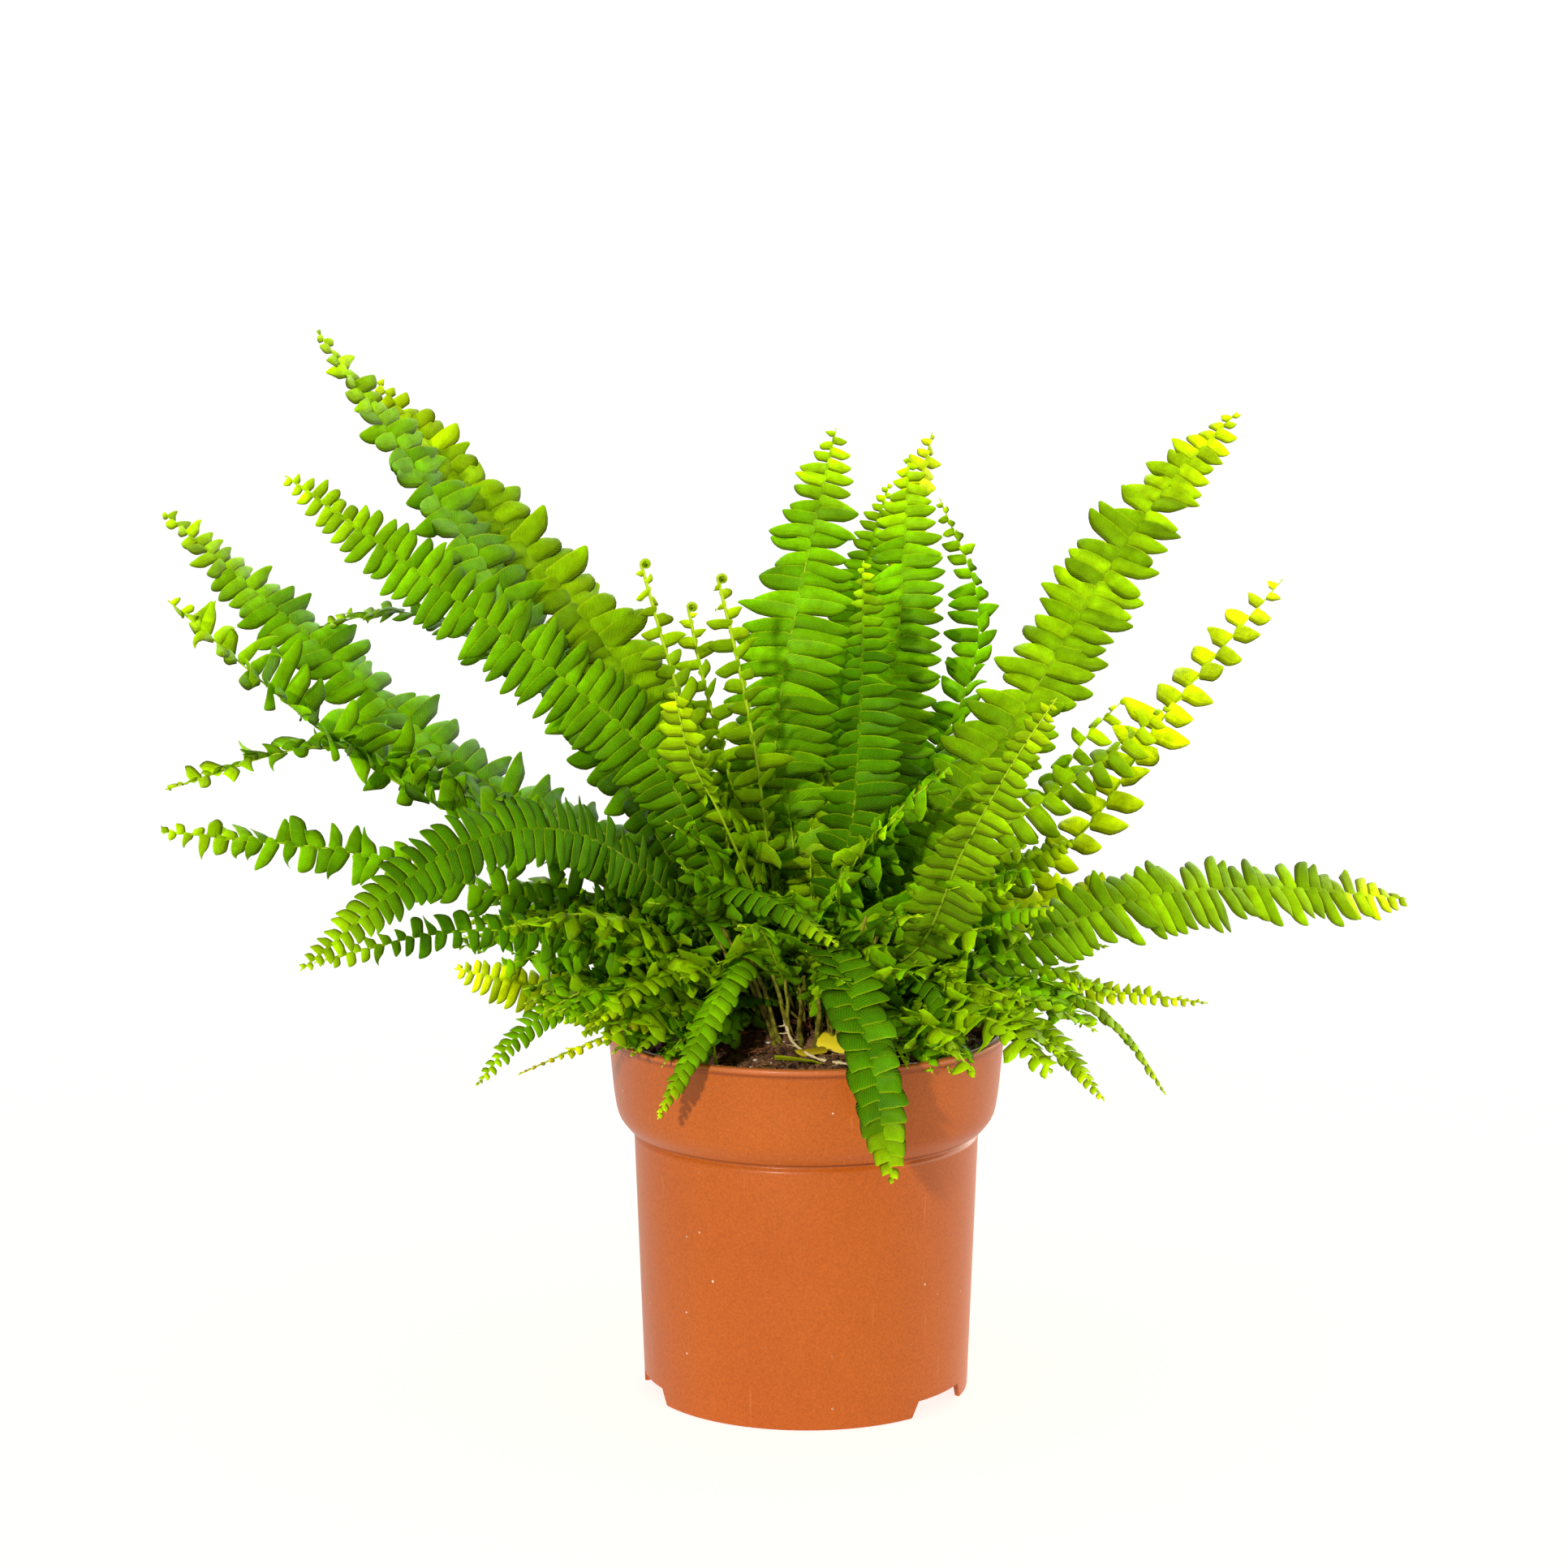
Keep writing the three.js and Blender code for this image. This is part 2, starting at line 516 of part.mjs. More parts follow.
function collide(one, other) {
  if (!one.box.intersectsBox(other.box)) return false;
  const hits = (edges, faces) => edges.some((edge) => faces.some((face) => pierces(edge, face)));
  return hits(one.edges, other.faces) || hits(other.edges, one.faces);
}

// Everything already placed, sorted into coarse cubes of space.
const CELL = 24;
function makeSpace() {
  const cells = new Map();
  const keysOf = (box) => {
    const keys = [];
    for (let x = Math.floor(box.min.x / CELL); x <= Math.floor(box.max.x / CELL); x += 1) {
      for (let y = Math.floor(box.min.y / CELL); y <= Math.floor(box.max.y / CELL); y += 1) {
        for (let z = Math.floor(box.min.z / CELL); z <= Math.floor(box.max.z / CELL); z += 1) {
          keys.push(`${x},${y},${z}`);
        }
      }
    }
    return keys;
  };
  const add = (hull, owner) => {
    for (const key of keysOf(hull.box)) {
      if (!cells.has(key)) cells.set(key, []);
      cells.get(key).push({ hull, owner });
    }
  };
  const free = (hull, owner) =>
    keysOf(hull.box).every((key) =>
      (cells.get(key) || []).every((item) => item.owner === owner || !collide(hull, item.hull)),
    );
  return { add, free };
}

// What each leaflet tries, in turn, until it is clear of its neighbours: a turn up or down, then a
// shorter length.
const TURNS = [0, -14, 14, -28, 28, -42, 42, -60, 60];
const LENGTHS = [1, 0.8, 0.6, 0.4, 0.22];

function placeLeaflet(space, name, a, b, c, hand, length, fold) {
  for (const scale of LENGTHS) {
    for (const turn of TURNS) {
      const leaf = leafletOf(a, b, c, hand, length * scale, fold + turn);
      if (space.free(hullOf(leaf, CLEARANCE), name)) return leaf;
    }
  }
  return leafletOf(a, b, c, hand, length * 0.12, fold);
}

// Places the leaflets of one frond, left and right in turn.
function leafletsOf(space, rib, rings) {
  const { blade, tip } = rings;
  const random = seeded(Math.round(rib.leaf * 100 + rib.pairs * 7 + rib.root.x * 13 + 5000));
  const end = { ...blade[blade.length - 1], point: tip, top: tip, bottom: tip };
  const leaves = [];
  for (let k = 0; k + 2 <= blade.length; k += 1) {
    const hand = k % 2 === 0 ? 1 : -1;
    const c = k + 2 < blade.length ? blade[k + 2] : end;
    const length = rib.leaf * leafletShare(blade[k + 1].t, rib.taper) * (0.94 + 0.12 * random());
    const fold = rib.raise + (random() - 0.5) * 14;
    const leaf = placeLeaflet(space, rib.name, blade[k], blade[k + 1], c, hand, length, fold);
    space.add(hullOf(leaf, 0), rib.name);
    leaves.push(leaf);
  }
  return leaves;
}

// One closed surface round a frond's foot, stipe, rib and leaflets.
function frondGeometry(rings, leaves) {
  const points = [];
  const triangles = [];
  const put = (p) => points.push(p) - 1;
  const stipe = rings.stipe.map((r) => [r.top, r.left4, r.bottom, r.right4].map(put));
  const last = stipe[stipe.length - 1];
  const foot = put(rings.foot);
  for (let i = 0; i < 4; i += 1) {
    triangles.push([foot, stipe[0][i], stipe[0][(i + 1) % 4]]);
  }
  for (let j = 0; j + 1 < stipe.length; j += 1) {
    for (let i = 0; i < 4; i += 1) {
      const n = (i + 1) % 4;
      const [p, q, r, s] = [stipe[j][i], stipe[j + 1][i], stipe[j + 1][n], stipe[j][n]];
      triangles.push([p, q, r], [p, r, s]);
    }
  }
  const top = rings.blade.map((r, k) => (k === 0 ? last[0] : put(r.top)));
  const bottom = rings.blade.map((r, k) => (k === 0 ? last[2] : put(r.bottom)));
  const count = rings.blade.length;
  const end = put(rings.tip);
  top.push(end);
  bottom.push(end);
  // A face, turned over on the right-hand side of the rib.
  const face = (hand, p, q, r) => triangles.push(hand > 0 ? [p, q, r] : [q, p, r]);
  leaves.forEach((leaf, k) => {
    const inner = put(leaf.inner);
    const outer = put(leaf.outer);
    const hand = leaf.hand;
    face(hand, top[k], top[k + 1], inner);
    face(hand, top[k + 1], outer, inner);
    face(hand, top[k + 1], top[k + 2], outer);
    face(hand, bottom[k + 1], bottom[k], inner);
    face(hand, outer, bottom[k + 1], inner);
    face(hand, bottom[k + 2], bottom[k + 1], outer);
    if (k === 0) {
      face(hand, top[0], inner, last[1]);
      face(hand, last[1], inner, bottom[0]);
    } else {
      face(hand, top[k], inner, bottom[k]);
    }
    if (k + 2 < count) face(hand, top[k + 2], bottom[k + 2], outer);
  });
  // The first half step on the right has no leaflet.
  triangles.push([top[1], top[0], last[3]], [top[1], last[3], bottom[1]], [last[3], bottom[0], bottom[1]]);
  // The last half step, past the last whole leaflet on one side, closes at the tip.
  closeTip(face, top, bottom, count, end, put, rings);
  return geometryOf(points, triangles);
}

// The end leaflet on the side whose last notch is at the last ring.
function closeTip(face, top, bottom, count, end, put, rings) {
  const lastRing = rings.blade[count - 1];
  const hand = count % 2 === 0 ? -1 : 1;
  const reach = 0.5 * lastRing.point.distanceTo(rings.tip);
  const corner = put(
    mix(lastRing.point, rings.tip, 0.5).addScaledVector(lastRing.left, hand * Math.max(reach, 0.8)),
  );
  const k = count - 1;
  face(hand, top[k], end, corner);
  face(hand, end, bottom[k], corner);
  face(hand, top[k], corner, bottom[k]);
}

// A tapering hole in the crown round the pointed foot of a stem.
function rootDrill({ root, start, side }) {
  const top = 10;
  const reach = (ROOT_HOLE_RADIUS * (ROOT_HOLE_DEPTH + top)) / ROOT_HOLE_DEPTH;
  const drill = new THREE.ConeGeometry(reach, ROOT_HOLE_DEPTH + top, 4).rotateX(Math.PI);
  drill.translate(0, (top - ROOT_HOLE_DEPTH) / 2, 0);
  const across = new THREE.Vector3().crossVectors(side, start);
  drill.applyMatrix4(new THREE.Matrix4().makeBasis(side, start, across));
  return solidOf(drill.translate(root.x, root.y, root.z));
}

// The crown: a low lumpy dome with one plain hole for each stem.
function makeCrown(stems) {
  const profile = [[0, CROWN_BOTTOM], [CROWN_RADIUS - 1, CROWN_BOTTOM], [CROWN_RADIUS, CROWN_SHOULDER]];
  for (const r of [23, 11]) {
    profile.push([r, crownHeight(r)]);
  }
  profile.push([0, crownHeight(0)]);
  const dome = mergeVertices(bareOf(turned(profile, CROWN_SIDES)), 1e-4);
  roughen(dome, CROWN_SHOULDER + 0.5, 0.5, CROWN_RADIUS - 1, 23);
  let crown = solidOf(dome);
  for (const stem of stems) {
    crown = crown.subtract(rootDrill(stem));
  }
  return meshOf("crown", geometryFromSolid(crown), "#4a3322", 0.9);
}

// A pale runner that leaves the crown and lies across the soil: a tube round its own curve, with a pointed
// foot in the crown and a pointed end.
function makeRunner({ root, start, curve }) {
  const steps = 12;
  const sides = 6;
  const tube = new THREE.TubeGeometry(curve, steps, RUNNER_RADIUS, sides, false);
  const points = [];
  for (let ring = 0; ring < steps; ring += 1) {
    for (let i = 0; i < sides; i += 1) {
      points.push(vec(0, 0, 0).fromBufferAttribute(tube.attributes.position, ring * (sides + 1) + i));
    }
  }
  const foot = points.push(root.clone().addScaledVector(start, -ROOT_DEPTH)) - 1;
  const end = points.push(curve.getPointAt(1)) - 1;
  const triangles = [];
  for (let i = 0; i < sides; i += 1) {
    const next = (i + 1) % sides;
    for (let ring = 0; ring + 1 < steps; ring += 1) {
      const [p, q] = [ring * sides + i, ring * sides + next];
      triangles.push([p, p + sides, q], [q, p + sides, q + sides]);
    }
    const last = (steps - 1) * sides;
    triangles.push([foot, i, next], [end, last + next, last + i]);
  }
  return meshOf("runner", geometryOf(points, triangles), "#d9c9a3", 0.7);
}

function runnerStem() {
  const root = rootPlace(...RUNNER_ROOT);
  const start = vec(root.x * 0.35 + 2, root.y * 0.35, 9).normalize();
  const lead = root.clone().addScaledVector(start, 2);
  const curve = new THREE.CatmullRomCurve3([root, lead, ...RUNNER_PLACES.map((p) => vec(...p))]);
  const side = new THREE.Vector3().crossVectors(UP, start).normalize();
  return { root, start, side, curve };
}

// A dead leaflet that has fallen on the soil: an oval plate, bent down to its two ends.
function makeFallenLeaflet() {
  const { at, length, width, thickness, turn, tip } = FALLEN_LEAFLET;
  const oval = new THREE.Shape();
  oval.absellipse(0, 0, length / 2, width / 2, 0, 2 * Math.PI);
  const plate = new THREE.ExtrudeGeometry(oval, {
    depth: thickness,
    bevelEnabled: false,
    curveSegments: 12,
  });
  plate.rotateY(THREE.MathUtils.degToRad(tip)).rotateZ(THREE.MathUtils.degToRad(turn));
  return meshOf("fallen_leaflet", plate.translate(...at), "#d8b52c", 0.6);
}

const plant = new THREE.Group();
const ribs = FRONDS.map(ribOf);
const space = makeSpace();
const ringSets = ribs.map(ringsOf);
ringSets.forEach((rings, i) => {
  const all = [...rings.stipe, ...rings.blade];
  for (let k = 0; k + 1 < all.length; k += 1) {
    space.add(ribHullOf(all[k], all[k + 1], 0), ribs[i].name);
  }
});
const fronds = ribs.map((rib, i) => {
  const leaves = leafletsOf(space, rib, ringSets[i]);
  return meshOf(rib.name, frondGeometry(ringSets[i], leaves), GREENS[rib.green], 0.5);
});
const runner = runnerStem();
plant.add(makePot(), makeSoil(), makeCrown([...ribs, runner]), ...fronds);
plant.add(makeRunner(runner), makeFallenLeaflet());

export default plant;
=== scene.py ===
# %% [markdown]
# # A young sword fern in a nursery pot
# The object is a sword fern, about 39 cm wide and 31 cm tall, in a moulded plastic nursery pot 12 cm over
# the rim. The CAD model gives every part its place: the pot, the soil, the crown that all stems come from,
# 54 fronds, a runner and a fallen leaflet. This lesson dresses that frame: each frond gets its full number
# of leaflets, the soil its crumbs, and everything a material that is drawn by nodes.

# %%
# Load the frame and keep its size
import math
import random

import bpy
import numpy as np
from mathutils import Matrix, Vector, noise


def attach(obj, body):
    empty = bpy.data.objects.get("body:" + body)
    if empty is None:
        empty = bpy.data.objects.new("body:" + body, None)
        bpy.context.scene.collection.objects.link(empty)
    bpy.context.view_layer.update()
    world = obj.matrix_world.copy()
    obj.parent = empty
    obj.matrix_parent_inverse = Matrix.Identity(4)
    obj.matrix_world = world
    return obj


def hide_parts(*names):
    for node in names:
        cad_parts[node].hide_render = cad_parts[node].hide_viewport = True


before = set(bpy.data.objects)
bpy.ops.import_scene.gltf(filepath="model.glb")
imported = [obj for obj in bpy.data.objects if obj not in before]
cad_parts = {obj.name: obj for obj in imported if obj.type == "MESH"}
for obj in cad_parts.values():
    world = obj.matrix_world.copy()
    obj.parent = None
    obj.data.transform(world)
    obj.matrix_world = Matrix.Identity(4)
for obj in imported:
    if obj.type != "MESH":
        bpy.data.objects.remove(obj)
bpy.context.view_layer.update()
MM = 0.001

# %% [markdown]
# ## The camera
# The plant was photographed from about a metre away, a little above the pot's rim and looking down by
# eight degrees. A camera could be aimed by eye, but the pot's rim, collar and foot have known sizes, so its
# place was worked out from how large and how flat those three circles look.

# %%
# Place the camera
CAMERA_PLACE = (0, -1.0311, 0.3272)
CAMERA_PITCH_DOWN = 8.0
CAMERA_TURN_LEFT = 0.37
CAMERA_LENS = 80.77
CAMERA_SENSOR = 36
CAMERA_SEES_FROM = 0.05
CAMERA_SEES_TO = 50


def deselect_all():
    if bpy.context.object and bpy.context.object.mode != "OBJECT":
        bpy.ops.object.mode_set(mode="OBJECT")
    bpy.ops.object.select_all(action="DESELECT")


deselect_all()
bpy.ops.object.camera_add(
    location=CAMERA_PLACE,
    rotation=(math.radians(90 - CAMERA_PITCH_DOWN), 0, math.radians(CAMERA_TURN_LEFT)),
)
camera = bpy.context.object
camera.name = "camera"
camera.data.lens = CAMERA_LENS
camera.data.sensor_width = CAMERA_SENSOR
camera.data.clip_start = CAMERA_SEES_FROM
camera.data.clip_end = CAMERA_SEES_TO
bpy.context.scene.camera = camera
print("camera", tuple(round(v, 3) for v in camera.location), "lens", CAMERA_LENS, "mm")

# %% [markdown]
# ## Helpers for materials
# Every material here is a small tree of nodes. Colours are chosen as they look on a screen, so one function
# turns them into the linear values that the renderer works in, and one function adds a node.

# %%
# Colours and nodes


def linear(hex_colour):
    """An sRGB hex colour as the linear RGBA that the shader expects."""
    channels = [int(hex_colour[i : i + 2], 16) / 255 for i in (0, 2, 4)]
    return (*[c / 12.92 if c <= 0.04045 else ((c + 0.055) / 1.055) ** 2.4 for c in channels], 1.0)


def add(tree, kind, inputs=(), **settings):
    """Adds one node: its kind, its inputs by name or number, and its settings. An input is a value, an
    output, or another node, which stands for its first output in use."""
    node = tree.nodes.new("ShaderNode" + kind)
    for key, value in settings.items():
        setattr(node, key, value)
    for key, value in dict(inputs).items():
        in_use = [s for s in node.inputs if s.enabled and s.name == key]
        socket = node.inputs[key] if isinstance(key, int) else in_use[0]
        if isinstance(value, bpy.types.Node):
            value = next(s for s in value.outputs if s.enabled)
        if isinstance(value, bpy.types.NodeSocket):
            tree.links.new(value, socket)
        else:
            socket.default_value = value
    return node


def new_material(name):
    """A material with an empty tree, and that tree."""
    material = bpy.data.materials.new(name)
    material.use_nodes = True
    material.node_tree.nodes.clear()
    return material, material.node_tree


print("helpers ready")

# %% [markdown]
# ## The leaflet
# A leaflet of this fern is a slim half-moon, up to 20 mm long and about a third as wide. It sits on the rib
# with a broad foot, which has a small ear on the side towards the frond's tip. That side bulges more than
# the other, the end hooks towards the frond's tip and is blunt, and both margins arch down, away from the
# light. It could be a flat card with a picture on it, but a card shows its straight edges from the side.
# Here it is modelled once, as a thin closed lens of 80 faces, and then copied a few thousand times. The
# short fronds in the crown get a plainer one of 20 faces.

# %%
# Model one leaflet
LEAFLET_LENGTH = 16 * MM
LEAFLET_WIDTH = 6 * MM
LEAFLET_THICKNESS = 0.22 * MM
LEAFLET_GROOVE = 0.12 * MM
LEAFLET_CAMBER = 1.0 * MM
CAMBER_FOOTWARD = 0.7
CAMBER_TIPWARD = 0.4
# Stations along the leaflet, and its half width there towards the frond's tip and towards its foot, both
# as shares.
STATIONS = [0, 0.04, 0.12, 0.25, 0.40, 0.55, 0.70, 0.82, 0.91, 0.97, 1]
TIPWARD = [0.80, 1.22, 1.32, 1.20, 1.18, 1.15, 1.04, 0.84, 0.58, 0.34, 0.05]
FOOTWARD = [0.45, 0.70, 0.80, 0.84, 0.87, 0.88, 0.86, 0.76, 0.60, 0.34, 0.05]
STRIPS = 4
HOOK = 0.85
HOOK_FROM = 0.6
# From this share on, a point belongs to the rim, where the two faces of the lens meet.
RIM = 0.999
MERGE_WITHIN = 0.01 * MM
# A short frond's leaflet has fewer stations, and a ridge in place of the arch.
FEW_STATIONS = [0, 0.12, 0.40, 0.70, 0.91, 1]
FEW_STRIPS = 2


def model_leaflet(stations, strips):
    """A grid that is doubled and pulled into a thin lens, with its foot at the origin and its tip on X."""
    deselect_all()
    steps = len(stations) - 1
    bpy.ops.mesh.primitive_grid_add(x_subdivisions=steps, y_subdivisions=strips, size=1)
    blade = bpy.context.object
    blade.name = "leaflet_pattern"
    bpy.ops.object.mode_set(mode="EDIT")
    bpy.ops.transform.translate(value=(0.5, 0, 0))
    bpy.ops.object.mode_set(mode="OBJECT")
    for vertex in blade.data.vertices:
        vertex.co.x = stations[round(vertex.co.x * steps)]
    bpy.ops.object.mode_set(mode="EDIT")
    bpy.ops.mesh.select_all(action="SELECT")
    bpy.ops.mesh.duplicate()
    bpy.ops.mesh.flip_normals()
    bpy.ops.object.mode_set(mode="OBJECT")
    points_on_top = len(blade.data.vertices) // 2
    for index, vertex in enumerate(blade.data.vertices):
        x, share = vertex.co.x, 2 * vertex.co.y
        outline = np.interp(x, STATIONS, TIPWARD if share > 0 else FOOTWARD)
        hook = HOOK * max(0, (x - HOOK_FROM) / (1 - HOOK_FROM)) ** 2
        on_rim = abs(share) > RIM or x < 1 - RIM or x > RIM
        half_thick = 0 if on_rim else LEAFLET_THICKNESS / 2
        side = 1 if index < points_on_top else -1
        fold = LEAFLET_GROOVE * (1 - abs(share)) ** 2 * (1 - x)
        arch = LEAFLET_CAMBER * share**2 * outline * (CAMBER_TIPWARD if share > 0 else CAMBER_FOOTWARD)
        vertex.co = (
            x * LEAFLET_LENGTH,
            (share * outline + hook) * LEAFLET_WIDTH / 2,
            side * half_thick - fold - arch,
        )
    bpy.ops.object.mode_set(mode="EDIT")
    bpy.ops.mesh.select_all(action="SELECT")
    bpy.ops.mesh.remove_doubles(threshold=MERGE_WITHIN)
    bpy.ops.object.mode_set(mode="OBJECT")
    return blade


leaflet = model_leaflet(STATIONS, STRIPS)
small_leaflet = model_leaflet(FEW_STATIONS, FEW_STRIPS)
print("leaflet:", len(leaflet.data.polygons), "faces, small one:", len(small_leaflet.data.polygons))

# %% [markdown]
# A copy has to know which of its faces are its underside, and where a point lies along the leaflet and
# across it, because the veins are drawn from that. The pattern is read into arrays once, and it leaves the
# scene.

# %%
# Read the leaflet into arrays


def read_pattern(blade, stations):
    """A leaflet as arrays: each point's station and its place across and upwards, in leaflet widths."""
    mesh = blade.data
    points = np.array([v.co for v in mesh.vertices])
    faces = np.array([p.vertices[:] for p in mesh.polygons])
    corners = [mesh.uv_layers.active.data[i].uv[:] for p in mesh.polygons for i in p.loop_indices]
    uv = np.array(corners).reshape(len(faces), 4, 2)
    uv[..., 0] = np.interp(uv[..., 0], np.linspace(0, 1, len(stations)), stations)
    pattern = {
        "at": np.array(stations)[:, None],
        "station": np.abs(points[:, :1] / LEAFLET_LENGTH - stations).argmin(axis=1),
        "across": points[:, 1:] / LEAFLET_WIDTH,
        "faces": faces,
        "uv": uv,
        "under": np.array([float(p.normal.z < 0) for p in mesh.polygons]),
    }
    bpy.data.objects.remove(blade)
    return pattern


FULL = read_pattern(leaflet, STATIONS)
SMALL = read_pattern(small_leaflet, FEW_STATIONS)
print("faces on the underside:", int(FULL["under"].sum()), "and", int(SMALL["under"].sum()))

# %% [markdown]
# ## The fronds' places
# Every row is one frond of the CAD model, and its number in its group is its place in the list. A row has
# the place of the root on the crown as ring and bearing, the length of the longest leaflets, the share of
# the rib that is a bare stalk, the green, what this frond shows of its own, and the places that its rib
# passes through, in millimetres, the last being its tip. Roots and places are the same values that the CAD
# model has, because a frond here stands exactly where its solid stands.
#
# What a frond shows of its own, where it differs from the usual:
# - finish is a green other than the first one, and bare a share without leaflets other than the usual
# - long and broad make its leaflets longer and wider, and blunt is their width as a share of their length
# - gap is the way from one pair of leaflets to the next in millimetres, and taper how late they get short
# - roll turns the blade round its rib and raise lifts the leaflets from it, both in degrees
# - lean sweeps leaflets towards the tip, sag hangs them down, and turn twists them along their length
# - loose is how far single leaflets stray from the row

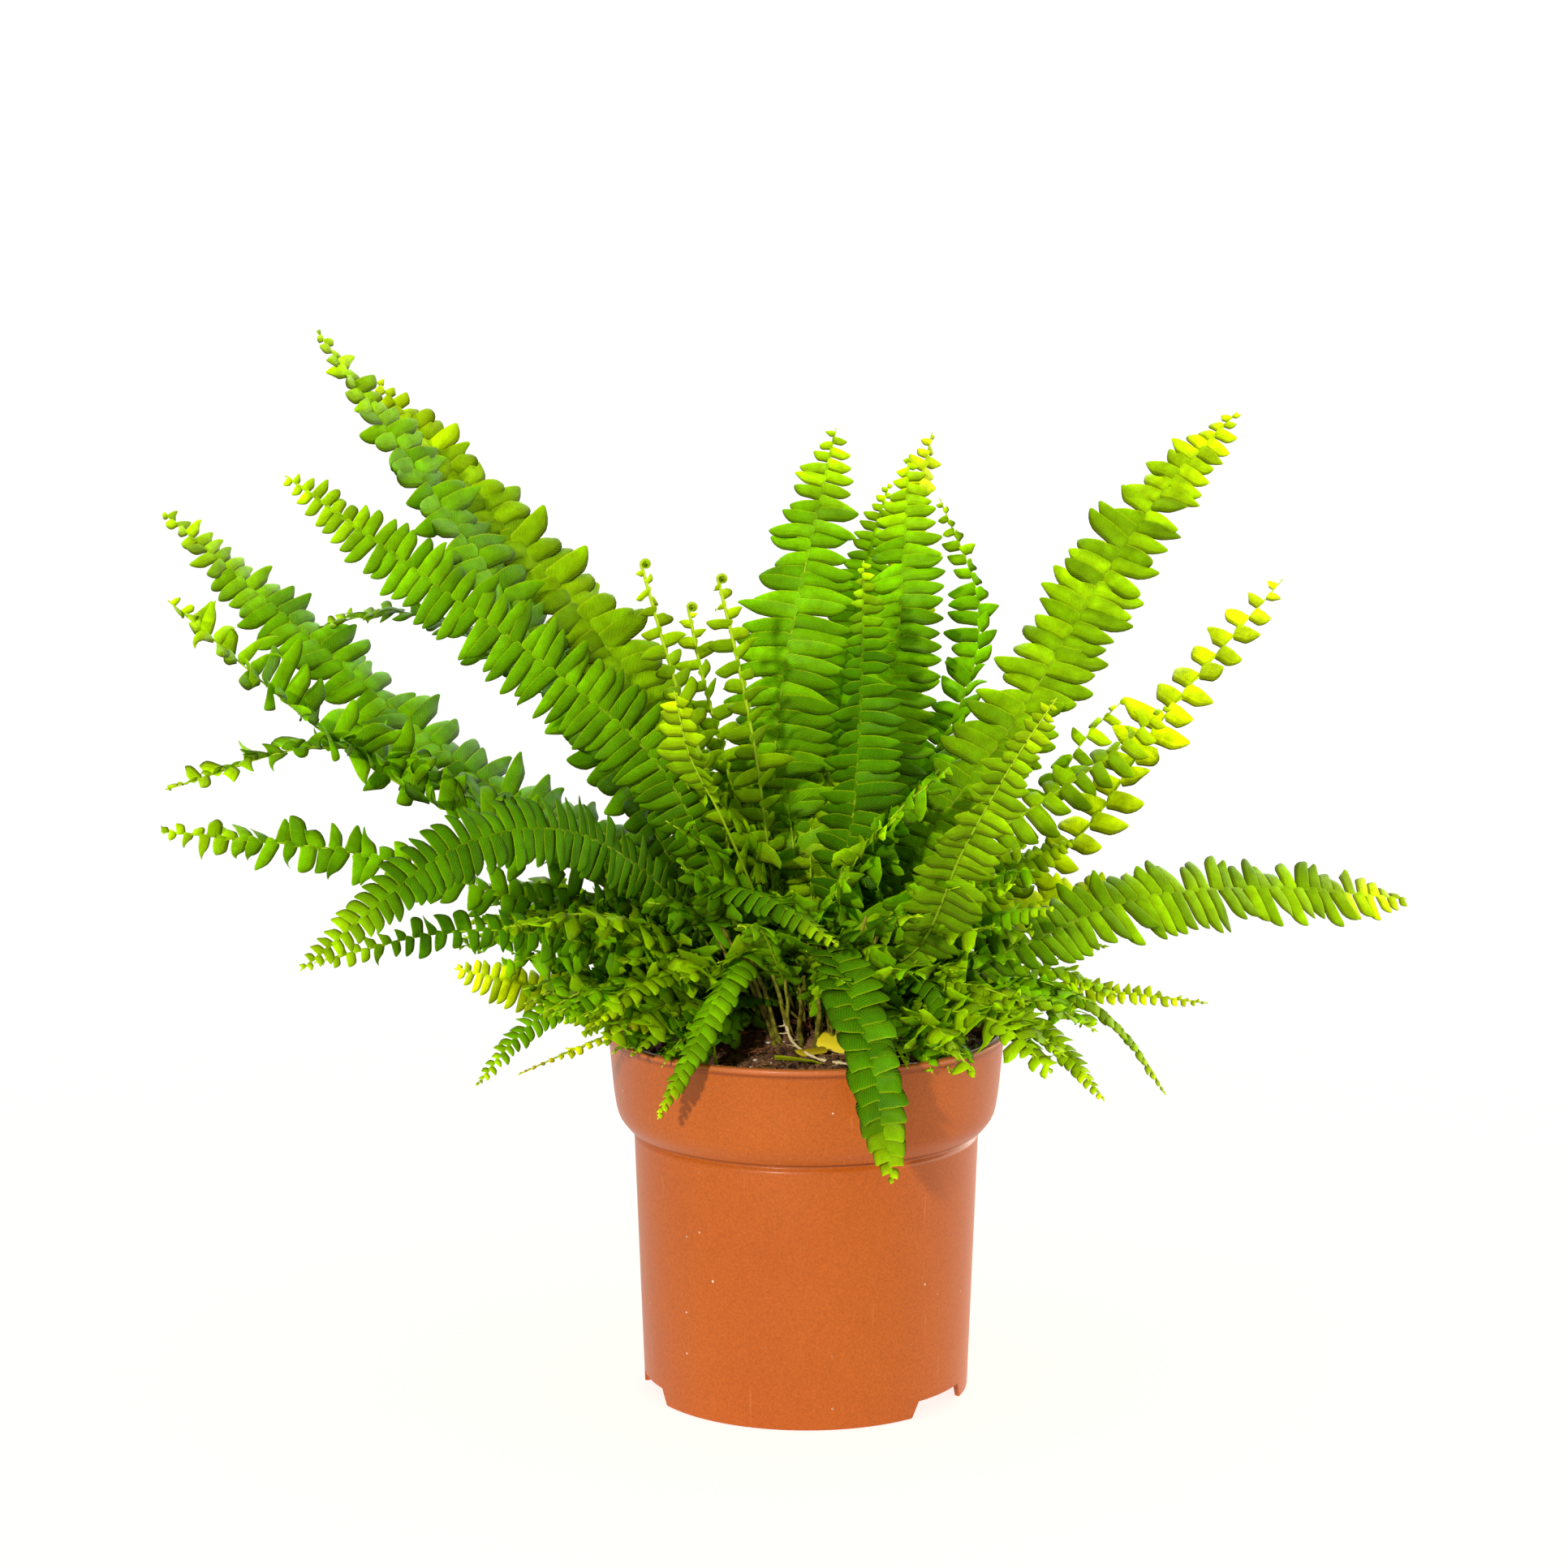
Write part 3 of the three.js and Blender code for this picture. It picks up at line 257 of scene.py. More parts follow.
# %%
# List the fronds
FROND_GROUPS = {
    "frond_left": [
        ((3, 160), 16, 0.12, "mid",
         {"broad": 1.15, "blunt": 0.55, "gap": 4.7, "taper": 4, "roll": -22, "raise": 13, "loose": 1.6},
         [(-49, 5, 173), (-81, 12, 223), (-112, 18, 268), (-146, 24, 315)]),
        ((2, 120), 16, 0.14, "bright",
         {"broad": 1.2, "blunt": 0.6, "gap": 5.2, "taper": 4, "roll": -30, "raise": 16, "loose": 1.8},
         [(-36, 13, 182), (-61, 27, 221), (-91, 40, 254), (-132, 55, 299)]),
        ((2, 210), 13.5, 0.12, "mid",
         {"long": 0.95, "broad": 0.92, "gap": 4.1, "taper": 5, "roll": -80, "loose": 1.3},
         [(-42, -8, 187), (-73, -14, 217), (-101, -16, 238), (-151, -12, 274)]),
        ((3, 180), 20, 0.12, "bright",
         {"finish": "mid", "long": 0.86, "blunt": 0.65, "taper": 5, "roll": -16, "raise": 8, "turn": 25,
          "loose": 1.6},
         [(-52, 6, 161), (-95, 18, 179), (-128, 30, 203), (-197, 48, 259)]),
        ((3, 200), 11, 0.16, "mid",
         {"long": 1.3, "gap": 4.6, "taper": 6, "roll": -34, "raise": 35, "loose": 4},
         [(-64, -14, 157), (-106, -24, 179), (-133, -30, 197), (-181, -38, 240)]),
        ((4, 150), 10, 0.2, "mid", {"long": 1.25, "gap": 4.0, "taper": 5, "raise": 20, "loose": 4},
         [(-71, 2, 160), (-112, -18, 187), (-138, -36, 198), (-179, -60, 189)]),
        ((3, 140), 9, 0.24, "dark", {"long": 1.25, "gap": 3.2, "taper": 5, "raise": 20, "loose": 3},
         [(-47, 18, 175), (-84, 32, 210), (-123, 44, 229), (-157, 50, 222)]),
        ((4, 195), 8, 0.18, "mid",
         {"broad": 0.8, "blunt": 0.65, "gap": 5.0, "taper": 9, "roll": -75, "loose": 3},
         [(-51, -16, 142), (-88, -28, 154), (-126, -38, 167), (-182, -52, 176)]),
        ((3, 220), 14, 0.12, "mid",
         {"finish": "dark", "long": 0.78, "gap": 3.6, "taper": 4, "roll": -66, "lean": 0.06, "sag": 0.18},
         [(-45, -38, 161), (-69, -62, 178), (-96, -82, 176), (-136, -103, 146)]),
        ((4, 225), 6.5, 0.18, "dark", {"broad": 0.8, "gap": 4.6, "taper": 5, "roll": -70, "loose": 2.5},
         [(-48, -28, 134), (-77, -52, 147), (-103, -64, 149), (-136, -76, 143)]),
        ((4, 165), 6, 0.22, "lime", {"long": 1.7, "broad": 0.85, "gap": 3.1, "taper": 4, "roll": -60},
         [(-52, 0, 118), (-84, 4, 121), (-106, 8, 125)]),
        ((4, 210), 8, 0.16, "mid",
         {"long": 0.8, "broad": 0.8, "blunt": 0.4, "gap": 2.8, "roll": -62, "loose": 1.5},
         [(-46, -18, 124), (-69, -30, 123), (-83, -36, 114), (-95, -40, 100)]),
        ((4, 240), 6, 0.22, "bright",
         {"finish": "dying", "long": 0.95, "gap": 3.2, "taper": 1.3, "loose": 2.2},
         [(-45, -36, 119), (-64, -46, 113), (-82, -52, 106)]),
        ((4, 180), 10, 0.18, "dark", {"roll": -20},
         [(-44, -6, 133), (-70, -14, 143), (-98, -24, 145)]),
    ],
    "frond_front": [
        ((2, 270), 8, 0.24, "mid", {},
         [(-11, -22, 143), (-23, -48, 132), (-33, -58, 113), (-42, -60, 95)]),
        ((1, 300), 13, 0.22, "mid",
         {"finish": "dark", "long": 0.74, "broad": 1.35, "blunt": 0.8, "gap": 4.8, "taper": 5, "roll": 5,
          "raise": 25, "lean": 0.12, "sag": 0.1},
         [(5, -34, 141), (13, -62, 128), (19, -73, 109), (24, -75, 81)]),
        ((2, 240), 9, 0.26, "dark", {},
         [(-24, -36, 157), (-8, -50, 155), (9, -60, 145)]),
        ((3, 240), 8, 0.2, "bright", {},
         [(-33, -40, 135), (-47, -54, 132), (-60, -62, 122)]),
        ((4, 270), 7, 0.2, "dark", {},
         [(-36, -40, 121), (-50, -50, 111)]),
        ((1, 240), 14, 0.16, "bright",
         {"bare": 0.7, "long": 0.6, "broad": 0.95, "blunt": 0.6, "gap": 4.0, "loose": 1.8},
         [(-17, -22, 158), (-25, -36, 179), (-33, -46, 197), (-37, -54, 216)]),
        ((3, 260), 11, 0.24, "mid", {"long": 0.7, "gap": 4.0, "loose": 2.5},
         [(-8, -36, 134), (-13, -52, 148), (-19, -68, 152)]),
        ((3, 280), 11, 0.24, "dark", {"long": 0.7, "gap": 3.8, "loose": 2.5},
         [(8, -32, 136), (22, -48, 150), (32, -64, 154)]),
    ],
    "frond_centre": [
        ((1, 120), 17, 0.1, "mid", {"blunt": 0.42, "gap": 4.4, "taper": 4, "loose": 1.5},
         [(-10, 18, 171), (-8, 32, 204), (-1, 44, 240), (9, 56, 285)]),
        ((1, 60), 16, 0.12, "mid", {"long": 0.95, "gap": 4.4, "taper": 4, "loose": 1.5},
         [(16, 24, 170), (26, 44, 205), (30, 58, 242), (32, 72, 275)]),
        ((0, 0), 16, 0.08, "dark", {"gap": 3.9, "taper": 2, "loose": 1.5},
         [(13, 0, 167), (16, 10, 197), (17, 16, 226), (17, 20, 247)]),
        ((3, 80), 12, 0.16, "mid", {"roll": 20},
         [(6, 45, 167), (13, 68, 215), (19, 80, 242), (26, 88, 266)]),
        ((3, 60), 9, 0.24, "lime", {"gap": 4.4, "taper": 9, "roll": 60, "loose": 2},
         [(24, 60, 178), (34, 84, 226), (34, 92, 254), (40, 98, 282)]),
        ((2, 60), 11, 0.2, "mid", {"broad": 0.8, "gap": 5.4, "raise": 42, "loose": 2},
         [(32, 44, 172), (51, 64, 206), (54, 74, 230), (42, 84, 262)]),
    ],
    "crozier": [
        ((2, 180), 6, 0.36, "bright", {},
         [(-27, -4, 179), (-38, -8, 212), (-48, -12, 248)]),
        ((2, 150), 6, 0.4, "bright", {},
         [(-23, 8, 183), (-31, 7, 214), (-35, 6, 234)]),
        ((1, 180), 6, 0.36, "bright", {},
         [(-15, -2, 191), (-21, 0, 222), (-26, -2, 243)]),
    ],
    "frond_right": [
        ((1, 0), 16, 0.12, "bright", {"gap": 4.9, "taper": 5, "roll": 24, "raise": 12, "loose": 1.5},
         [(38, 18, 165), (65, 38, 198), (89, 54, 235), (111, 67, 265), (135, 80, 289)]),
        ((2, 300), 15, 0.14, "bright", {"long": 0.72, "gap": 3.8, "roll": -45, "loose": 2},
         [(32, -28, 138), (45, -38, 169), (59, -46, 196), (70, -52, 214)]),
        ((3, 20), 13, 0.26, "lime",
         {"long": 0.9, "broad": 0.62, "gap": 8.4, "taper": 6, "roll": 20, "raise": 16, "loose": 1.5},
         [(61, 24, 144), (87, 36, 165), (110, 48, 196), (148, 62, 238)]),
        ((2, 0), 9, 0.18, "bright",
         {"long": 1.1, "broad": 0.7, "gap": 6.0, "taper": 6, "roll": 40, "loose": 2.5},
         [(45, 8, 158), (72, 18, 175), (92, 24, 188), (109, 28, 202)]),
        ((2, 30), 8, 0.26, "bright", {"broad": 0.5, "gap": 8.0, "taper": 6, "roll": 30, "loose": 2.5},
         [(51, 24, 158), (74, 42, 173), (87, 52, 190), (99, 58, 201)]),
        ((3, 320), 13, 0.12, "mid",
         {"finish": "bright", "broad": 0.75, "blunt": 0.6, "gap": 5.2, "taper": 9, "roll": 45,
          "raise": 5, "loose": 1.5},
         [(37, -20, 125), (61, -8, 134), (100, 26, 143), (144, 60, 141), (194, 92, 132)]),
        ((3, 0), 9, 0.18, "bright", {"roll": 40},
         [(43, 4, 141), (60, 14, 153), (81, 22, 162)]),
        ((4, 15), 4.5, 0.42, "lime", {"broad": 0.9, "gap": 3.6, "roll": 60, "loose": 2},
         [(60, 16, 119), (88, 26, 115), (124, 36, 109)]),
        ((4, 345), 7, 0.18, "bright", {},
         [(54, -8, 120), (78, -12, 122), (94, -14, 110), (106, -16, 92)]),
        ((4, 315), 7, 0.16, "bright", {"roll": 30},
         [(49, -34, 125), (69, -43, 117), (85, -50, 98)]),
        ((4, 30), 8, 0.22, "lime", {"gap": 4.2, "taper": 5, "roll": 60, "loose": 2},
         [(46, 24, 134), (75, 48, 139), (109, 66, 143)]),
        ((4, 45), 5, 0.24, "mid", {"roll": 60},
         [(51, 34, 121), (72, 46, 125), (95, 56, 123)]),
        ((4, 300), 8, 0.18, "dark", {},
         [(34, -34, 130), (44, -44, 114)]),
        ((3, 340), 9, 0.2, "mid", {"roll": 20},
         [(36, -8, 134), (54, -15, 145), (72, -22, 149)]),
        ((4, 330), 8, 0.2, "mid", {},
         [(42, -26, 119), (58, -36, 118), (70, -44, 108)]),
    ],
    "frond_back": [
        ((2, 90), 14, 0.16, "mid", {},
         [(0, 38, 166), (-4, 74, 208), (-10, 104, 210)]),
        ((3, 40), 14, 0.18, "mid", {},
         [(28, 32, 150), (50, 68, 188), (66, 102, 186)]),
        ((3, 120), 14, 0.18, "mid", {},
         [(-26, 34, 160), (-46, 68, 192), (-62, 100, 188)]),
        ((4, 75), 12, 0.18, "dark", {},
         [(18, 44, 140), (36, 80, 152), (50, 105, 130)]),
        ((4, 120), 12, 0.18, "dark", {},
         [(-20, 44, 138), (-38, 80, 147), (-52, 104, 122)]),
        ((4, 60), 11, 0.22, "mid", {},
         [(36, 44, 136), (60, 72, 148), (80, 98, 146)]),
        ((4, 135), 11, 0.22, "mid", {},
         [(-42, 34, 142), (-66, 62, 154), (-85, 90, 150)]),
        ((4, 90), 9, 0.2, "dark", {},
         [(0, 46, 120), (2, 74, 115), (4, 98, 94)]),
    ],
}
FRONDS = [(f"{group}_{k}", *row) for group, rows in FROND_GROUPS.items() for k, row in enumerate(rows, 1)]
print("fronds:", len(FRONDS))

# %% [markdown]
# ## The ribs
# A rib leaves the crown steeply and then arches. A smooth curve through its places is drawn as a centripetal
# Catmull-Rom spline, the kind that the CAD model uses, so that both follow the same line. A blade is turned
# round its rib, on some fronds so far that it stands on edge. So each place on the rib has a direction along
# it, one up from the blade and one to its left.

# %%
# Draw a smooth line through places
ROOT_RING_STEP = 6 * MM
ROOT_DEPTH = 6 * MM
ROOT_ABOVE_CROWN = 0.6 * MM
CROWN_RADIUS = 29 * MM
CROWN_SHOULDER = 108 * MM
CROWN_TOP = 117.5 * MM
CROWN_ROUNDNESS = 0.9
# The first stretch of a rib, as a share of the way to its first place, and its least climb.
LEAD_SHARE = 0.3
LEAD_CLIMB = 0.75
# A blade turns as its rib goes on, at this rate for each share of the length, up to its whole turn.
TURN_RATE = 5
DIRECTION_STEP = 0.004
LINE_STEPS = 40
UP = np.array([0.0, 0.0, 1.0])


def unit(vector):
    return vector / np.maximum(np.linalg.norm(vector, axis=-1, keepdims=True), 1e-12)


def smooth_line(places):
    """Points along a centripetal Catmull-Rom spline through the places, and the length up to each."""
    p = np.array(places, float)
    p = np.vstack([2 * p[0] - p[1], p, 2 * p[-1] - p[-2]])
    t = np.linspace(0, 1, LINE_STEPS, endpoint=False)[:, None]
    pieces = []
    for a, b, c, d in zip(p, p[1:], p[2:], p[3:]):
        before, here, after = (math.sqrt(np.linalg.norm(v)) for v in (b - a, c - b, d - c))
        start = ((b - a) / before - (c - a) / (before + here) + (c - b) / here) * here
        end = ((c - b) / here - (d - b) / (here + after) + (d - c) / after) * here
        cubic = (3 * (c - b) - 2 * start - end) * t**2 + (2 * (b - c) + start + end) * t**3
        pieces.append(b + start * t + cubic)
    line = np.vstack([*pieces, p[-2:-1]])
    lengths = np.concatenate([[0], np.cumsum(np.linalg.norm(np.diff(line, axis=0), axis=1))])
    return line, lengths


def root_place(ring, bearing):
    """Where a stalk leaves the crown's dome: at a ring round its middle, and a bearing in degrees."""
    r = ring * ROOT_RING_STEP
    angle = math.radians(bearing)
    dome = math.sqrt(1 - CROWN_ROUNDNESS * min(r / CROWN_RADIUS, 1) ** 2)
    height = CROWN_SHOULDER + (CROWN_TOP - CROWN_SHOULDER) * dome + ROOT_ABOVE_CROWN
    return np.array([r * math.cos(angle), r * math.sin(angle), height])


def rib_of(root, places):
    """A rib's smooth line, its first direction out of the crown, and the level direction across it."""
    foot = root_place(*root)
    through = [foot] + [np.array(p) * MM for p in places]
    lead = LEAD_SHARE * (through[1] - foot)
    lead[2] = max(lead[2], LEAD_CLIMB * np.linalg.norm(lead))
    line, lengths = smooth_line([foot, foot + lead, *through[1:]])
    reach = unit((through[-1] - foot) * [1, 1, 0])
    return {"foot": foot, "start": unit(lead), "line": line, "lengths": lengths, "side": np.cross(UP, reach)}


def places_on(rib, lengths):
    return np.stack([np.interp(lengths, rib["lengths"], rib["line"][:, k]) for k in range(3)], -1)


def frames_on(rib, shares, roll):
    """Place, direction along, up from the blade and left of it, at shares of the rib's length."""
    whole = rib["lengths"][-1]
    at = np.asarray(shares) * whole
    step = DIRECTION_STEP * whole
    along = unit(places_on(rib, np.minimum(at + step, whole)) - places_on(rib, np.maximum(at - step, 0)))
    up = unit(np.cross(along, rib["side"]))
    turned = np.radians(roll) * np.minimum(1, TURN_RATE * np.asarray(shares))[:, None]
    up = up * np.cos(turned) + np.cross(along, up) * np.sin(turned)
    return places_on(rib, at), along, up, np.cross(up, along)


RIBS = {row[0]: rib_of(row[1], row[6]) for row in FRONDS}
longest = max(RIBS, key=lambda name: RIBS[name]["lengths"][-1])
print("longest frond:", longest, round(RIBS[longest]["lengths"][-1] / MM), "mm")

# %% [markdown]
# ## Building a frond
# A frond is one mesh: its stalk and rib, a thin tapering tube, and its leaflets, copies of the pattern.
# Copies could be placed as separate objects, but a few thousand objects are slow to handle, so the copies'
# points are worked out in arrays and joined. No two leaflets are alike: each gets its own length, fold, sag
# and twist, from seeded random numbers, so the plant comes out the same each time.

# %%
# A mesh made of four-sided faces


class Quads:
    """Collects points and four-sided faces, with a UV place for each corner, a material index for each
    face, and for each point its age along the frond and its own shade."""

    def __init__(self):
        self.parts = []
        self.count = 0

    def put(self, points, faces, uv, finish, under, age, shade):
        by_face = [faces + self.count, uv, np.full(len(faces), finish), np.broadcast_to(under, len(faces))]
        by_point = [np.broadcast_to(age, len(points)), np.broadcast_to(shade, len(points))]
        self.parts.append([points, *by_face, *by_point])
        self.count += len(points)

    def build(self, name, finishes):
        points, faces, uv, finish, under, age, shade = (np.concatenate(p) for p in zip(*self.parts))
        mesh = bpy.data.meshes.new(name)
        mesh.vertices.add(len(points))
        mesh.vertices.foreach_set("co", points.ravel())
        mesh.loops.add(faces.size)
        mesh.loops.foreach_set("vertex_index", faces.ravel())
        mesh.polygons.add(len(faces))
        mesh.polygons.foreach_set("loop_start", np.arange(len(faces)) * 4)
        mesh.polygons.foreach_set("material_index", finish.astype(int))
        mesh.update(calc_edges=True)
        mesh.uv_layers.new(name="UVMap").data.foreach_set("uv", uv.ravel())
        by_kind = [("age", "POINT", age), ("shade", "POINT", shade), ("under", "FACE", under)]
        for key, domain, values in by_kind:
            mesh.attributes.new(key, "FLOAT", domain).data.foreach_set("value", values.astype(np.float32))
        for material in finishes:
            mesh.materials.append(material)
        piece = bpy.data.objects.new(name, mesh)
        bpy.context.scene.collection.objects.link(piece)
        return piece


def tube(line, radii, sides=6, first_side=None):
    """Points, faces and UV of a round tube along a line, closed at both ends."""
    line = np.asarray(line, float)
    along = unit(np.gradient(line, axis=0))
    side = unit(np.cross(along[0], UP if first_side is None else first_side) + 1e-9)
    rings = []
    for here, ahead, radius in zip(line, along, np.broadcast_to(radii, len(line))):
        side = unit(side - ahead * (side @ ahead))
        across = np.cross(ahead, side)
        angle = np.linspace(0, 2 * math.pi, sides, endpoint=False)[:, None]
        rings.append(here + radius * (np.cos(angle) * side + np.sin(angle) * across))
    i = np.arange(sides)
    ring = np.stack([i, (i + 1) % sides, (i + 1) % sides + sides, i + sides], -1)
    faces = [ring + k * sides for k in range(len(line) - 1)]
    last = (len(line) - 1) * sides
    for k in range(0, sides - 2, 2):
        faces.append([[0, k + 3, k + 2, k + 1]])
        faces.append([[last, last + k + 1, last + k + 2, last + (k + 3) % sides]])
    faces = np.concatenate(faces)
    length = np.concatenate([[0], np.cumsum(np.linalg.norm(np.diff(line, axis=0), axis=1))])
    u = np.repeat(length, sides)
    v = np.tile(i / sides, len(line))
    return np.concatenate(rings), faces, np.stack([u[faces], v[faces]], -1)


def put_tube(quads, line, radii, sides, finish, age, shade, first_side=None):
    """Puts a tube among the quads; its age is one value, or one for each place on the line."""
    points, faces, uv = tube(line, radii, sides, first_side)
    quads.put(points, faces, uv, finish, 0, np.repeat(age, sides) if np.ndim(age) else age, shade)


print("mesh helpers ready")

# %% [markdown]
# The leaflets are longest below the middle of a blade and taper to its tip. They stand closer together where
# they are short, so that each overlaps the next a little all along, like shingles. Each sags a little under
# its own weight: the ground pulls it down, and it also curls to the blade's underside.

# %%
# Lay the leaflets of one frond

# How far a leaflet is twisted against the blade, in degrees, so that it overlaps the next.
SHINGLE = 12
# What a frond shows where its row says nothing else. Besides what the rows name, droop curls leaflets to the
# underside, young and tip_age are the ages of the blade at its two ends, fair makes all leaflets lighter,
# and shades is how much they differ.
USUAL = {
    "long": 1, "broad": 1, "blunt": 0.5, "taper": 3, "roll": 0, "raise": -8, "lean": 0.2, "sag": 0.26,
    "droop": 0.07, "turn": 0, "loose": 1, "young": 0, "tip_age": 1, "fair": 0, "shades": 1.5,
}
# How far single leaflets stray, in degrees and shares, on a neat frond; loose multiplies it.
BEND = {"fold": 7, "sweep": 6, "twist": 8, "length": 0.09, "turn": 30, "sag": 0.09, "droop": 0.06}
CUP = (0.7, 1.4)
# A leaflet's length by its place on the blade: at the first one, how fast it grows, and at the last one.
FIRST_LENGTH = 0.42
LENGTH_GROWTH = 1.6
LENGTH_FALL = 0.75
LAST_LENGTH = 0.09
# The way from one pair of leaflets to the next, in millimetres, has a part that grows with their length.
PAIR_GAP = 1.7
GAP_BY_LENGTH = 0.165
# The share of the gap that the shortest leaflets keep, and what it grows by to the longest.
GAP_AT_LEAST = 0.8
GAP_GROWTH = 0.2
# No leaflet stands this close to the rib's tip.
NO_LEAFLET_WITHIN = 0.6 * MM
# A leaflet's width as a share of the gap, and in the same way what the shortest keep of it.
WIDTH_BY_GAP = 1.2
WIDTH_AT_LEAST = 0.4
WIDTH_GROWTH = 0.6
BLUNT_AT_LEAST = 0.5 * MM
SEAT_ON_RIB = 0.3 * MM


def leaflet_share(t, taper):
    """A leaflet's length at a share of the blade, as a share of the longest."""
    rising = np.minimum(FIRST_LENGTH + LENGTH_GROWTH * t, 1)
    return rising * (1 - t**taper) ** LENGTH_FALL + LAST_LENGTH


def pair_gap(leaf):
    return PAIR_GAP + GAP_BY_LENGTH * leaf


def blade_shares(leaf, bare, taper, length, gap):
    """Shares of the rib where leaflets stand, and how long each is there."""
    shares, sizes = [], []
    at = bare * length
    while at < length - NO_LEAFLET_WITHIN:
        t = (at / length - bare) / (1 - bare)
        size = float(leaflet_share(t, taper))
        shares.append(at / length)
        sizes.append(size)
        at += 0.5 * gap * (GAP_AT_LEAST + GAP_GROWTH * min(size, 1))
    return np.array(shares), np.array(sizes) * leaf


def copy_leaflet(quads, pattern, place, out, ahead, length, width, bend, hand, age, shade):
    """A leaflet that starts towards out and bends down on its way; ahead points along its width."""
    x = pattern["at"]
    face = hand * np.cross(ahead, out)
    run = unit(out - 2 * x * (bend["sag"] * UP + bend["droop"] * face))
    steps = (run[1:] + run[:-1]) / 2 * np.diff(x, axis=0) * length
    line = place + np.vstack([[0, 0, 0], np.cumsum(steps, axis=0)])
    wide = unit(ahead - run * (run @ ahead)[:, None])
    top = hand * np.cross(wide, run)
    turn = bend["twist"] + bend["turn"] * x**3
    wide, top = wide * np.cos(turn) + top * np.sin(turn), top * np.cos(turn) - wide * np.sin(turn)
    k, across = pattern["station"], pattern["across"] * width
    points = line[k] + across[:, :1] * wide[k] + across[:, 1:] * bend["cup"] * top[k]
    faces = pattern["faces"][:, ::-1] if hand > 0 else pattern["faces"]
    uv = pattern["uv"][:, ::-1] if hand > 0 else pattern["uv"]
    quads.put(points, faces, uv, 0, pattern["under"], age, shade)


def lay_leaflets(quads, rib, leaf, bare, habit, rng, pattern=FULL):
    """Both rows of leaflets of a frond; leaf is the length of the longest, in millimetres."""
    habit = {**USUAL, "gap": pair_gap(leaf), **habit}
    gap = habit["gap"] * MM
    shares, sizes = blade_shares(leaf * MM, bare, habit["taper"], rib["lengths"][-1], gap)
    place, along, up, left = frames_on(rib, shares, habit["roll"])
    for k, (share, size) in enumerate(zip(shares, sizes)):
        hand = 1 if k % 2 == 0 else -1
        vary = {key: rng.uniform(-1, 1) * amount * habit["loose"] for key, amount in BEND.items()}
        fold = math.radians(habit["raise"] + vary["fold"])
        sweep = habit["lean"] + math.radians(vary["sweep"])
        out = hand * left[k] * math.cos(fold) + up[k] * math.sin(fold)
        ahead = along[k] * math.cos(sweep) - out * math.sin(sweep)
        out = out * math.cos(sweep) + along[k] * math.sin(sweep)
        long = size * (1 + vary["length"])
        width_share = WIDTH_AT_LEAST + WIDTH_GROWTH * min(size / (leaf * MM), 1)
        wide = WIDTH_BY_GAP * gap * width_share * habit["broad"]
        wide = min(wide, habit["blunt"] * long + BLUNT_AT_LEAST)
        bend = {
            "sag": habit["sag"] + vary["sag"],
            "droop": habit["droop"] + vary["droop"],
            "twist": math.radians(SHINGLE + vary["twist"]),
            "turn": math.radians(habit["turn"] + vary["turn"]),
            "cup": rng.uniform(*CUP),
        }
        start = place[k] + (up[k] - out) * SEAT_ON_RIB
        age = np.interp(share, [0, 1], [habit["young"], habit["tip_age"]])
        shade = habit["fair"] + habit["shades"] * rng.uniform(-1, 1)
        copy_leaflet(quads, pattern, start, out, ahead, long, wide, bend, hand, age, shade)
    return len(shares)


print("leaflet spacing on a frond with 16 mm leaflets:", round(pair_gap(16), 1), "mm a pair")

# %% [markdown]
# ## Leaf material
# A fern's leaflet is a living sheet with a thin waxy skin. Light from above leaves a soft sheen on it, and
# light from behind comes through it yellow-green, which is what makes the edge of the plant glow. So the
# surface is a plastic-like shader for the skin, mixed with a translucent one for the flesh. The colour runs
# from dark at the crown to lime at the tips. The midrib, the foot and the margin towards the frond's tip are
# paler, fine side veins run slanting between them, and the underside is a little duller than the top.
#
# The half towards the frond's tip faces the light and is drawn lighter. Along the other margin lies a dark
# band, which stands for the shade of the next leaflet, with a thin darker line where the two meet.

# %%
# Make the leaf materials
VEINS_ON_A_LEAFLET = 11
VEIN_SLANT = 7.2
FLESH_SHARE = 0.5
LEAF_RELIEF = 0.2 * MM
PALE_GREEN = "cddc1c"
UNDERSIDE_GREEN = "9cc020"
# The pale marks: where each starts, where it is full, and how strong it is. The midrib goes by the distance
# from the middle, the margin by the place across, the veins by their wave, and the foot by the place along.
MARKS = {
    "midrib": (0.035, 0.01, 0.30),
    "margin": (0.92, 0.985, 0.85),
    "vein": (0.35, 1.0, 0.42),
    "foot": (0.06, 0.0, 0.45),
}
# Settings that many nodes share.
SMOOTH = {"interpolation_type": "SMOOTHSTEP"}
COLOUR = {"data_type": "RGBA"}
TIMES = {"operation": "MULTIPLY"}
PLUS = {"operation": "ADD"}
MINUS = {"operation": "SUBTRACT"}
LARGER = {"operation": "MAXIMUM"}
SIZE_ONLY = {"operation": "ABSOLUTE"}


